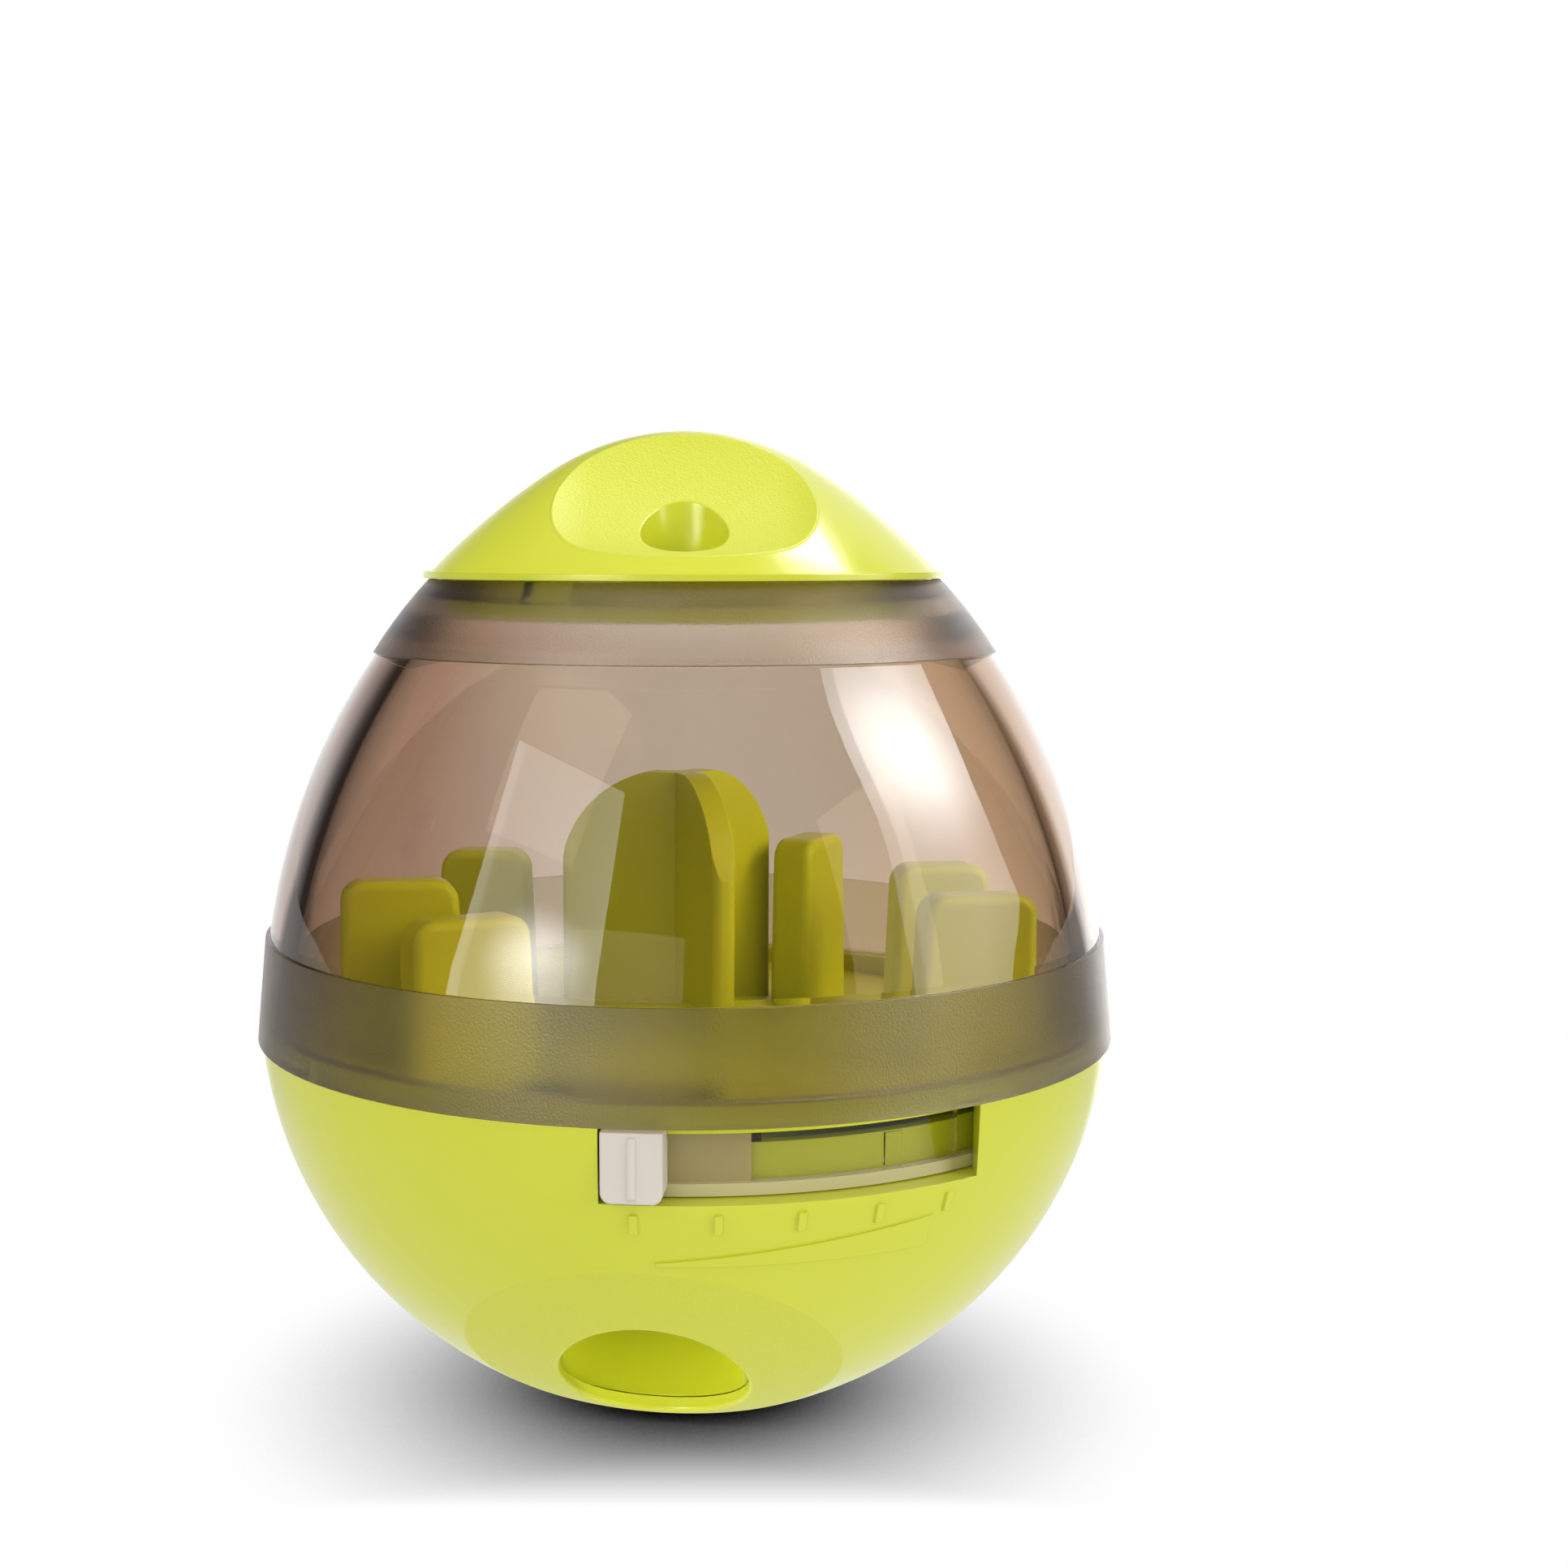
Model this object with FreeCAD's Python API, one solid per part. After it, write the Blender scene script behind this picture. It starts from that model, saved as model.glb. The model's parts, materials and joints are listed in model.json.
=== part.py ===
# Wobble treat dispenser: a weighted egg that drops dry food as a pet knocks it about.
# Lengths are millimetres, angles degrees. +Z is up, the front (slot and mouth) faces -Y,
# and the origin is the centre of the small flat that the egg stands on.
# A bearing is an angle about +Z counted from the front (-Y) towards +X.
import FreeCAD, Part
import math
import os

os.makedirs("parts", exist_ok=True)
V = FreeCAD.Vector
UP = V(0, 0, 1)
ORIGIN = V(0, 0, 0)

# Clearances
RUN_GAP = 0.2            # between faces that turn past each other
SEAT_GAP = 0.1           # beside faces that are assembled and then stay
LIFT_GAP = 0.15          # under a ring that turns on a ledge
PIN_GAP = 0.05           # round a peg or a screw
PRESS_GAP = 0.025        # between the knob and the ring that it is pressed on
OVER = 1.0               # how far a cut runs on past what it cuts

# Base: a ball with a foot, a rim and a spigot
BALL_R = 49.6
FOOT_R = 7.0
BASE_WALL = 2.0
RIM_DROP = 4.2           # from the ball's centre down to the rim
RIM_LAND = 2.0           # the flat of the rim outside the spigot
SPIGOT_H = 2.0
SPIGOT_WALL = 1.8
LEDGE_W = 1.7

# Adjuster slot, its scale and the size wedge, on the base's front
SLOT_H = 8.0
SLOT_SPARE = 0.3
TICK_COUNT = 5
TICK_PITCH = 10.15
LAST_TICK_SHORT = 1.0    # the knob stops this far before the last stroke
TICK_W = 0.85
TICK_H = 2.1
TICK_DROP = 1.1
TICK_PROUD = 0.3
WEDGE_FROM = -3.7
WEDGE_TO = 32.6
WEDGE_DROP = 7.0
WEDGE_H = 3.6
WEDGE_TIP_H = 0.4
WEDGE_PROUD = 0.2

# Exit mouth, an upright oval, and the shallow dish round it
MOUTH_BEARING = -6.5
MOUTH_ELEV = -52.0
MOUTH_HALF_W = 10.3
MOUTH_HALF_H = 14.0
MOUTH_LIP = 0.5
DISH_ELEV = -48.3
DISH_R = 20.6
DISH_DEPTH = 0.9

# Deck inside the base, with its chute to the mouth
DECK_T = 2.0
CHUTE_STEP = 0.3         # the chute is this much narrower than the mouth at each side
CHUTE_WALL = 2.0
CHUTE_SLOPE = 39.0
GUIDE_WALL = 1.5
GUIDE_GAP_FROM = -27.0
GUIDE_GAP_TO = 8.0
PILLAR_R = 3.0
PILLAR_SPACE = 2.1       # between a pillar and the guide wall
PILLAR_BEARINGS = (106.0, 180.0, 270.0)
BOSS_INSET = 7.8         # from the deck's edge to the middle of a boss
BOSS_R = 3.4
BOSS_BEARINGS = (60.0, 120.0, 240.0, 300.0)

# Counterweight in the bottom
WEIGHT_R = 16.0
WEIGHT_TOP_Z = 10.0
WEIGHT_Y = 8.5
WEIGHT_BOSS_R = 3.2
WEIGHT_SEAT = 1.0        # iron between the boss and the screw's head
COLLAR_T = 1.5
COLLAR_H = 4.0

# Screws
SCREW_R = 1.25
SCREW_LEN = 7.0
SCREW_HEAD_R = 2.5
SCREW_HEAD_H = 1.6
SCREW_HEAD_CHAMFER = 0.48
CROSS_W = 0.7
CROSS_LEN = 3.0
CROSS_DEPTH = 0.8
HEAD_SPARE = 0.6         # free space round a screw's head
BLIND_SPARE = 0.5        # free space under a screw's tip

# Adjuster ring, its shutter and its knob
RING_WALL = 1.1
RING_LIP_W = 0.5
RING_LIP_H = 1.3
RING_RIB_BEARING = 28.0
RING_RIB_W = 2.0
RING_RIB_PROUD = 0.3
RING_END_FROM = 39.0     # the clear wall stops here, above its lip
RING_END_TO = 45.0
SHUTTER_T = 1.1
SHUTTER_LAP = 2.0        # over the outlet's inner edge
SHUTTER_LAP_ANGLE = 4.0  # over the outlet's end
OUTLET_LEAST = 12.0      # what stays open at the smallest setting, in degrees
KNOB_BEARING = -6.1
KNOB_W = 6.2
KNOB_SINK = 0.4          # the knob's face lies this far inside the ball
KNOB_CORNER_R = 1.1
KNOB_RIB_W = 1.0
KNOB_RIB_PROUD = 0.3
KNOB_NIB_R = 0.5
KNOB_NIB_H = 0.6
KNOB_NIB_INSET = 0.75
KNOB_PEG_R = 1.3

# Maze disc: floor, tower and posts
FLOOR_T = 1.4
FLOOR_DROP = 3.4         # the floor's underside below the spigot's top
FLOOR_EDGE_W = 1.2       # the disc's upturned edge
CONE_R = 26.0            # inside this the floor rises to the tower
CONE_H = 4.4
SEAT_DEPTH = 0.25        # recess under a screw's head
OUTLET_FROM = -34.0
OUTLET_TO = 6.0
OUTLET_EDGE = 3.5        # floor left outside the outlet
OUTLET_W = 14.0
OUTLET_CORNER_R = 2.0
CORE_BOSS_R = 2.2
CORE_BOSS_X = 12.6
CORE_BOSS_Y = -4.0
CORE_BOSS_H = 3.6
CORE_BORE_R = 1.1
CORE_BORE_DEPTH = 2.4
TOWER_H = 29.7
TOWER_SHOULDER_H = 19.0
TOWER_ROUND = 50.0       # how far round the tower's top its middle point is
BLADE_LEN = 14.7
BLADE_T = 2.7
BLADE_EDGE_R = 1.1
BLADE_HEADINGS = (288.0, 48.0, 168.0)
POST_T = 5.0
POST_DRAFT = 2.5         # a post's ends lean in by this angle
POST_CORNER_R = 2.4
POST_EDGE_R = 1.0

# Dome: lower frosted band, clear window, upper frosted collar
BAND_PROUD = 0.48        # the band stands this far outside the base's rim
BAND_TAPER = 1.2
BAND_H = 11.9
BAND_STEP = 0.45
WINDOW_H = 32.15
WINDOW_TOP_R = 35.35
WINDOW_BULGE = 2.0
SHOULDER_STEP = 0.35
COLLAR_TOP_R = 29.3
UPPER_H = 8.15
UPPER_BULGE = 0.25
DOME_WALL = 2.2
NECK_W = 2.4
NECK_H = 3.1

# Bayonets
LUG_COUNT = 3
LUG_W = 9.0
LUG_PROUD = 0.7
LUG_H = 0.9
LUG_RISE = 0.5           # from the rim up to a lug
LUG_ROOT = 0.6           # a lug reaches this far into the wall
LUG_PHASE = 60.0
GROOVE_SPARE = 1.5       # free angle beside a lug
DOME_TWIST = 20.0
CAP_TWIST = 30.0
CAP_LUG_PROUD = 1.1
CAP_LUG_H = 1.5

# Cap
CAP_H = 16.6
CAP_OVERHANG = 0.6
CAP_FLANGE_T = 0.7
CAP_FLANGE_W = 0.9
CAP_SKIRT_SPARE = 0.7    # how much thicker than CAP_WALL the cap's foot is
CAP_WALL = 2.0
CAP_TIP_R = 28.0
CAP_TIP_EDGE = 15.0
SCOOP_RADIUS = 27.6
SCOOP_MID = 10.2         # half the length of its gentle middle
SCOOP_MID_SAG = 0.35     # what the middle falls off by at each end
SCOOP_END_R = 10.9
SCOOP_Y = 29.4
SCOOP_RISE = 13.6
WELL_HALF_W = 4.7
WELL_HALF_L = 5.8        # front to back
WELL_Y = 18.2
WELL_FLOOR = 1.2
WELL_WALL = 1.4
LINER_T = 1.6
LINER_SKIRT_H = 5.2
LINER_SKIRT_T = 1.8
CAP_SCREW_INSET = 8.4

# Heights and radii that follow from the sizes above
BALL_Z = math.sqrt(BALL_R ** 2 - FOOT_R ** 2)
BALL = V(0, 0, BALL_Z)
INNER_R = BALL_R - BASE_WALL
RIM_Z = BALL_Z - RIM_DROP
RIM_R = math.sqrt(BALL_R ** 2 - RIM_DROP ** 2)
SPIGOT_R = RIM_R - RIM_LAND
SPIGOT_Z = RIM_Z + SPIGOT_H
BORE_R = SPIGOT_R - SPIGOT_WALL
LEDGE_Z = RIM_Z - SLOT_H
LEDGE_IN_R = BORE_R - LEDGE_W
WEDGE_LOW_Z = LEDGE_Z - WEDGE_DROP
DECK_LOW_Z = LEDGE_Z - DECK_T
DECK_R = LEDGE_IN_R - SEAT_GAP
CHUTE_R = MOUTH_HALF_W - CHUTE_STEP
BOSS_RING_R = DECK_R - BOSS_INSET
RING_LIP_R = BORE_R - RUN_GAP
RING_OUT_R = RING_LIP_R - RING_LIP_W
RING_IN_R = RING_OUT_R - RING_WALL
RING_LOW_Z = LEDGE_Z + LIFT_GAP
GUIDE_OUT_R = RING_IN_R - RUN_GAP
GUIDE_IN_R = GUIDE_OUT_R - GUIDE_WALL
PILLAR_RING_R = GUIDE_IN_R - PILLAR_SPACE - PILLAR_R
FLOOR_LOW_Z = SPIGOT_Z - FLOOR_DROP
FLOOR_EDGE_Z = FLOOR_LOW_Z + FLOOR_T
FLOOR_R = BORE_R - SEAT_GAP
FLOOR_IN_R = FLOOR_R - FLOOR_EDGE_W
OUTLET_OUT_R = FLOOR_R - OUTLET_EDGE
OUTLET_IN_R = OUTLET_OUT_R - OUTLET_W
TOWER_TOP_Z = FLOOR_EDGE_Z + TOWER_H
TOWER_SHOULDER_Z = FLOOR_EDGE_Z + TOWER_SHOULDER_H
SHUTTER_FROM = OUTLET_FROM + OUTLET_LEAST
SHUTTER_TO = OUTLET_TO + SHUTTER_LAP_ANGLE
SHUTTER_INNER_R = OUTLET_IN_R - SHUTTER_LAP
SHUTTER_TOP_Z = FLOOR_LOW_Z - LIFT_GAP
SHUTTER_LOW_Z = SHUTTER_TOP_Z - SHUTTER_T
GUIDE_TOP_Z = SHUTTER_LOW_Z - LIFT_GAP
DOME_LOW_Z = RIM_Z + LIFT_GAP
BAND_LOW_R = RIM_R + BAND_PROUD
BAND_TOP_R = BAND_LOW_R - BAND_TAPER
BAND_TOP_Z = RIM_Z + BAND_H
WINDOW_TOP_Z = BAND_TOP_Z + WINDOW_H
SEAM_Z = WINDOW_TOP_Z + UPPER_H
SOCKET_R = SPIGOT_R + RUN_GAP
SOCKET_TOP_Z = SPIGOT_Z + 2 * LIFT_GAP
NECK_R = COLLAR_TOP_R - NECK_W
CAP_LOW_Z = SEAM_Z + LIFT_GAP
CAP_TOP_Z = SEAM_Z + CAP_H
CAP_FLANGE_R = COLLAR_TOP_R + CAP_OVERHANG
CAP_EDGE_R = CAP_FLANGE_R - CAP_FLANGE_W
CAP_SCREW_X = NECK_R - CAP_SCREW_INSET
KNOB_FACE_R = BALL_R - KNOB_SINK
ADJUST_RANGE = TICK_PITCH * (TICK_COUNT - 1) - LAST_TICK_SHORT
PROBE = 0.01             # how close an edge must lie to a plane to be on it


def polar(radius, bearing, z):
    a = math.radians(bearing)
    return V(radius * math.sin(a), -radius * math.cos(a), z)


def disc(radius, z_low, z_high):
    return Part.makeCylinder(radius, z_high - z_low, V(0, 0, z_low))


def tube(r_out, r_in, z_low, z_high):
    return disc(r_out, z_low, z_high).cut(disc(r_in, z_low - OVER, z_high + OVER))


def sector(r_out, r_in, start, end, z_low, z_high):
    """A piece of a ring between two bearings."""
    wedge = Part.makeCylinder(r_out, z_high - z_low, V(0, 0, z_low), UP, end - start)
    wedge.rotate(ORIGIN, UP, start - 90)
    return wedge.cut(disc(r_in, z_low - OVER, z_high + OVER))


def turned(edges):
    """Revolve a closed outline, drawn in the XZ plane, about Z."""
    return Part.Face(Part.Wire(edges)).revolve(ORIGIN, UP, 360)


def line(a, b):
    return Part.LineSegment(V(a[0], 0, a[1]), V(b[0], 0, b[1])).toShape()


def arc(a, m, b):
    return Part.Arc(V(a[0], 0, a[1]), V(m[0], 0, m[1]), V(b[0], 0, b[1])).toShape()


def bulged(a, b, bulge):
    """Point for an arc from a to b that stands out by bulge half way."""
    dx = b[0] - a[0]
    dz = b[1] - a[1]
    span = math.hypot(dx, dz)
    return ((a[0] + b[0]) / 2 + bulge * dz / span, (a[1] + b[1]) / 2 - bulge * dx / span)


def on_ball(radius, elevation):
    """Point of a ball's outline, as radius and height, at an elevation."""
    a = math.radians(elevation)
    return (radius * math.cos(a), BALL_Z + radius * math.sin(a))


def elevation_at(radius, z):
    return math.degrees(math.asin((z - BALL_Z) / radius))


def elevation_at_r(radius, r):
    return -math.degrees(math.acos(r / radius))


def screw(head_seat, length):
    """Pan-head screw pointing down, with a crossed recess."""
    head = Part.makeCylinder(SCREW_HEAD_R, SCREW_HEAD_H, head_seat)
    rim = [e for e in head.Edges if e.BoundBox.ZMin > head_seat.z + PROBE]
    head = head.makeChamfer(SCREW_HEAD_CHAMFER, rim)
    shank = Part.makeCylinder(SCREW_R - PIN_GAP, length, head_seat - V(0, 0, length))
    top = head_seat + V(0, 0, SCREW_HEAD_H - CROSS_DEPTH)
    cross = []
    for size in ((CROSS_W, CROSS_LEN), (CROSS_LEN, CROSS_W)):
        corner = top - V(size[0] / 2, size[1] / 2, 0)
        cross.append(Part.makeBox(size[0], size[1], CROSS_DEPTH + OVER, corner))
    return head.fuse(shank).cut(cross[0].fuse(cross[1]))


def mouth_axis(elevation):
    """Unit vector out of the ball's centre, over the mouth, at an elevation."""
    b = math.radians(MOUTH_BEARING)
    e = math.radians(elevation)
    return V(math.sin(b) * math.cos(e), -math.cos(b) * math.cos(e), math.sin(e))


def mouth_oval(depth):
    """The mouth's oval prism, from depth inside the ball outwards."""
    oval = Part.Ellipse(ORIGIN, MOUTH_HALF_H, MOUTH_HALF_W).toShape()
    prism = Part.Face(Part.Wire([oval])).extrude(V(0, 0, BALL_R))
    # The long way of the oval lies in the upright plane through its axis
    prism.rotate(ORIGIN, V(0, 1, 0), 90 - MOUTH_ELEV)
    prism.rotate(ORIGIN, UP, MOUTH_BEARING - 90)
    prism.translate(BALL + mouth_axis(MOUTH_ELEV) * (BALL_R - depth))
    return prism


def mouth_low_point(radius):
    """The mouth's lowest point, on a ball of this radius."""
    tilt = math.degrees(math.asin(MOUTH_HALF_H / BALL_R))
    return BALL + mouth_axis(MOUTH_ELEV - tilt) * radius


def base_outline():
    """The base's turned body: ball outside, ball and bore inside."""
    foot = elevation_at_r(BALL_R, FOOT_R)
    rim = elevation_at(BALL_R, RIM_Z)
    shelf_low_z = DECK_LOW_Z - LEDGE_W
    inner_top = elevation_at(INNER_R, shelf_low_z)
    edges = [
        line((0, 0), (FOOT_R, 0)),
        arc((FOOT_R, 0), on_ball(BALL_R, (foot + rim) / 2), (RIM_R, RIM_Z)),
        line((RIM_R, RIM_Z), (SPIGOT_R, RIM_Z)),
        line((SPIGOT_R, RIM_Z), (SPIGOT_R, SPIGOT_Z)),
        line((SPIGOT_R, SPIGOT_Z), (BORE_R, SPIGOT_Z)),
        line((BORE_R, SPIGOT_Z), (BORE_R, LEDGE_Z)),
        line((BORE_R, LEDGE_Z), (LEDGE_IN_R, LEDGE_Z)),
        line((LEDGE_IN_R, LEDGE_Z), (LEDGE_IN_R, DECK_LOW_Z)),
        line((LEDGE_IN_R, DECK_LOW_Z), on_ball(INNER_R, inner_top)),
        arc(on_ball(INNER_R, inner_top), on_ball(INNER_R, (inner_top - 90) / 2), on_ball(INNER_R, -90)),
        line((0, BALL_Z - INNER_R), (0, 0)),
    ]
    return turned(edges)


def knob_side_x(bearing, side):
    """How far the knob's outer corner reaches along X when it stands at a bearing."""
    a = math.radians(bearing)
    return KNOB_FACE_R * math.sin(a) + side * KNOB_W / 2 * math.cos(a)


def knob_slot():
    """The window that the knob slides in, with its ends cut from front to back."""
    left = knob_side_x(KNOB_BEARING, -1) - RUN_GAP
    right = knob_side_x(KNOB_BEARING + ADJUST_RANGE, 1) + SLOT_SPARE
    window = Part.makeBox(right - left, BALL_R * 1.5, SLOT_H, V(left, -BALL_R * 1.5, LEDGE_Z))
    return window.cut(disc(BORE_R - LEDGE_W / 2, LEDGE_Z - OVER, RIM_Z + OVER))


def size_wedge():
    """Raised wedge under the scale: a low tip at the left, tall at the right."""
    shell = Part.makeSphere(BALL_R + WEDGE_PROUD, BALL)
    shell = shell.cut(Part.makeSphere(BALL_R - WEDGE_PROUD, BALL))
    middle = (WEDGE_FROM + WEDGE_TO) / 2
    normal = polar(1, middle, 0)
    corners = []
    for bearing, z in ((WEDGE_FROM, WEDGE_LOW_Z), (WEDGE_TO, WEDGE_LOW_Z),
                       (WEDGE_TO, WEDGE_LOW_Z + WEDGE_H), (WEDGE_FROM, WEDGE_LOW_Z + WEDGE_TIP_H)):
        across = math.sin(math.radians(bearing - middle)) * BALL_R * math.cos(math.asin((BALL_Z - z) / BALL_R))
        corners.append(polar(across, middle + 90, z))
    wire = Part.makePolygon(corners + corners[:1])
    prism = Part.Face(wire).extrude(normal * BALL_R)
    return shell.common(prism)


def make_base_shell():
    body = base_outline()
    body = body.cut(knob_slot())
    # Shallow dish and the mouth
    axis = mouth_axis(DISH_ELEV)
    dish_sag = BALL_R - math.sqrt(BALL_R ** 2 - DISH_R ** 2) - DISH_DEPTH
    dish_ball_r = (DISH_R ** 2 + dish_sag ** 2) / (2 * dish_sag)
    dish_centre = BALL + axis * (BALL_R - DISH_DEPTH - dish_ball_r)
    rim_distance = math.sqrt(BALL_R ** 2 - DISH_R ** 2)
    dish = Part.makeCylinder(DISH_R, BALL_R, BALL + axis * (rim_distance - DISH_DEPTH / 2), axis)
    body = body.cut(dish.cut(Part.makeSphere(dish_ball_r, dish_centre)))
    body = body.cut(mouth_oval(MOUTH_HALF_H))
    body = body.makeFillet(MOUTH_LIP, dish_edges(body, dish_centre, dish_ball_r))
    # Bosses for the deck screws
    for bearing in BOSS_BEARINGS:
        foot = polar(BOSS_RING_R, bearing, BALL_Z - INNER_R)
        boss = Part.makeCylinder(BOSS_R, DECK_LOW_Z - foot.z, foot)
        boss = boss.common(Part.makeSphere(INNER_R + BASE_WALL / 2, BALL))
        hole = Part.makeCylinder(SCREW_R, SCREW_LEN, polar(BOSS_RING_R, bearing, DECK_LOW_Z - SCREW_LEN))
        body = body.fuse(boss).cut(hole)
    # Collar and boss for the counterweight
    centre = V(0, WEIGHT_Y, BASE_WALL)
    collar_r = WEIGHT_R + SEAT_GAP
    collar = Part.makeCylinder(collar_r + COLLAR_T, BALL_Z, centre)
    collar = collar.cut(Part.makeCylinder(collar_r, BALL_Z, centre))
    collar = collar.common(Part.makeSphere(INNER_R + BASE_WALL / 2, BALL))
    keep = disc(BALL_R, 0, BASE_WALL + COLLAR_H)
    body = body.fuse(collar.common(keep))
    boss = Part.makeCylinder(WEIGHT_BOSS_R, WEIGHT_TOP_Z - WEIGHT_SEAT - centre.z, centre)
    body = body.fuse(boss)
    body = body.cut(Part.makeCylinder(SCREW_R, WEIGHT_TOP_Z, V(0, WEIGHT_Y, WEIGHT_TOP_Z - SCREW_LEN)))
    # Scale and wedge
    top = LEDGE_Z - TICK_DROP
    for i in range(TICK_COUNT):
        body = body.fuse(tick(KNOB_BEARING + i * TICK_PITCH, top))
    body = body.fuse(size_wedge())
    # Lugs of the dome's bayonet
    body = body.fuse(lugs(SPIGOT_R, LUG_PROUD, LUG_W, RIM_Z + LUG_RISE, RIM_Z + LUG_RISE + LUG_H))
    return body.removeSplitter()


def dish_edges(body, centre, radius):
    """The dish's own rim and the edge of the mouth: both lie on the dish's round floor."""
    return [e for e in body.Edges
            if all(abs((e.valueAt(t) - centre).Length - radius) < PROBE for t in (e.FirstParameter, e.LastParameter))]


def tick(bearing, top):
    """One raised stroke of the scale."""
    shell = Part.makeSphere(BALL_R + TICK_PROUD, BALL)
    shell = shell.cut(Part.makeSphere(BALL_R - TICK_PROUD, BALL))
    stroke = Part.makeBox(TICK_W, BALL_R / 2, TICK_H, V(-TICK_W / 2, -BALL_R - TICK_PROUD, top - TICK_H))
    stroke.rotate(ORIGIN, UP, bearing)
    return shell.common(stroke)


def lugs(radius, proud, width, z_low, z_high):
    """Evenly spaced lugs that stand out of a round wall."""
    shape = None
    for i in range(LUG_COUNT):
        at = i * 360 / LUG_COUNT + LUG_PHASE
        lug = sector(radius + proud, radius - LUG_ROOT, at - width / 2, at + width / 2, z_low, z_high)
        shape = lug if shape is None else shape.fuse(lug)
    return shape


def make_counterweight():
    centre = V(0, WEIGHT_Y, 0)
    weight = Part.makeCylinder(WEIGHT_R, WEIGHT_TOP_Z, centre)
    weight = weight.common(Part.makeSphere(INNER_R - SEAT_GAP, BALL))
    bore_r = WEIGHT_BOSS_R + SEAT_GAP
    neck = WEIGHT_TOP_Z - WEIGHT_SEAT + SEAT_GAP
    weight = weight.cut(Part.makeCylinder(bore_r, neck, centre))
    weight = weight.cut(Part.makeCylinder(SCREW_R + PIN_GAP, WEIGHT_TOP_Z + OVER, centre))
    return weight.removeSplitter()


def make_weight_screw():
    return screw(V(0, WEIGHT_Y, WEIGHT_TOP_Z), SCREW_LEN - BLIND_SPARE)


def chute_line_z(y):
    """Height of the chute's lowest line at y."""
    lip = mouth_low_point(INNER_R)
    return lip.z + (y - lip.y) * math.tan(math.radians(CHUTE_SLOPE))


def channel(radius):
    """A U channel along the chute's slope, round below and open above."""
    slope = math.radians(CHUTE_SLOPE)
    along = V(0, math.cos(slope), math.sin(slope))
    across = V(0, -math.sin(slope), math.cos(slope))
    x = mouth_axis(MOUTH_ELEV).x * BALL_R
    low = V(x, -BALL_R, chute_line_z(-BALL_R))
    centre = low + across * CHUTE_R
    side = V(radius, 0, 0)
    tall = across * (BALL_R * 1.6)
    wire = Part.Wire([
        Part.Arc(centre - side, centre - across * radius, centre + side).toShape(),
        Part.makeLine(centre + side, centre + side + tall),
        Part.makeLine(centre + side + tall, centre - side + tall),
        Part.makeLine(centre - side + tall, centre - side),
    ])
    return Part.Face(wire).extrude(along * (BALL_R * 2))


def make_treat_chute():
    inner_ball = Part.makeSphere(INNER_R - SEAT_GAP, BALL)
    inside = inner_ball.common(disc(DECK_R, BASE_WALL, LEDGE_Z))
    chute = channel(CHUTE_R + CHUTE_WALL).common(inside)
    deck = disc(DECK_R, DECK_LOW_Z, LEDGE_Z)
    # The wall that guides the adjuster ring, open above the mouth
    guide = tube(GUIDE_OUT_R, GUIDE_IN_R, LEDGE_Z - DECK_T / 2, GUIDE_TOP_Z)
    gap = sector(BORE_R, GUIDE_IN_R - OVER, GUIDE_GAP_FROM, GUIDE_GAP_TO, LEDGE_Z, GUIDE_TOP_Z + OVER)
    body = deck.fuse(chute).fuse(guide.cut(gap))
    body = body.cut(channel(CHUTE_R).common(disc(GUIDE_IN_R, 0, LEDGE_Z + OVER)))
    for bearing in PILLAR_BEARINGS:
        pillar = Part.makeCylinder(PILLAR_R, FLOOR_LOW_Z - LEDGE_Z, polar(PILLAR_RING_R, bearing, LEDGE_Z))
        hole = Part.makeCylinder(SCREW_R, SCREW_LEN, polar(PILLAR_RING_R, bearing, FLOOR_LOW_Z - SCREW_LEN))
        body = body.fuse(pillar).cut(hole)
    for bearing in BOSS_BEARINGS:
        hole = Part.makeCylinder(SCREW_R + PIN_GAP, DECK_T + 2 * OVER, polar(BOSS_RING_R, bearing, DECK_LOW_Z - OVER))
        body = body.cut(hole)
    # Relief for the weight's screw
    head = Part.makeCylinder(SCREW_HEAD_R + HEAD_SPARE, SCREW_HEAD_H + HEAD_SPARE, V(0, WEIGHT_Y, WEIGHT_TOP_Z))
    return body.cut(head).removeSplitter()


def make_deck_screws():
    return Part.makeCompound([screw(polar(BOSS_RING_R, b, LEDGE_Z), SCREW_LEN) for b in BOSS_BEARINGS])


def make_adjuster_ring():
    ring = tube(RING_OUT_R, RING_IN_R, RING_LOW_Z, SHUTTER_TOP_Z)
    ring = ring.fuse(tube(RING_LIP_R, RING_IN_R, RING_LOW_Z, RING_LOW_Z + RING_LIP_H))
    half_rib = math.degrees(RING_RIB_W / 2 / RING_OUT_R)
    rib = sector(RING_OUT_R + RING_RIB_PROUD, RING_IN_R, RING_RIB_BEARING - half_rib, RING_RIB_BEARING + half_rib,
                 RING_LOW_Z, SHUTTER_LOW_Z)
    end = sector(RING_LIP_R + OVER, RING_IN_R - OVER, RING_END_FROM, RING_END_TO,
                 RING_LOW_Z + RING_LIP_H, SHUTTER_TOP_Z + OVER)
    ring = ring.fuse(rib).cut(end)
    shutter = sector(RING_OUT_R - RING_WALL / 2, SHUTTER_INNER_R, SHUTTER_FROM, SHUTTER_TO,
                     SHUTTER_LOW_Z, SHUTTER_TOP_Z)
    ring = ring.fuse(shutter)
    peg_end = polar(RING_IN_R - OVER, KNOB_BEARING, knob_mid_z())
    peg = Part.makeCylinder(KNOB_PEG_R + PIN_GAP, RING_WALL + 2 * OVER, peg_end, polar(1, KNOB_BEARING, 0))
    return ring.cut(peg).removeSplitter()


def knob_mid_z():
    return (LEDGE_Z + RIM_Z) / 2


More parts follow.
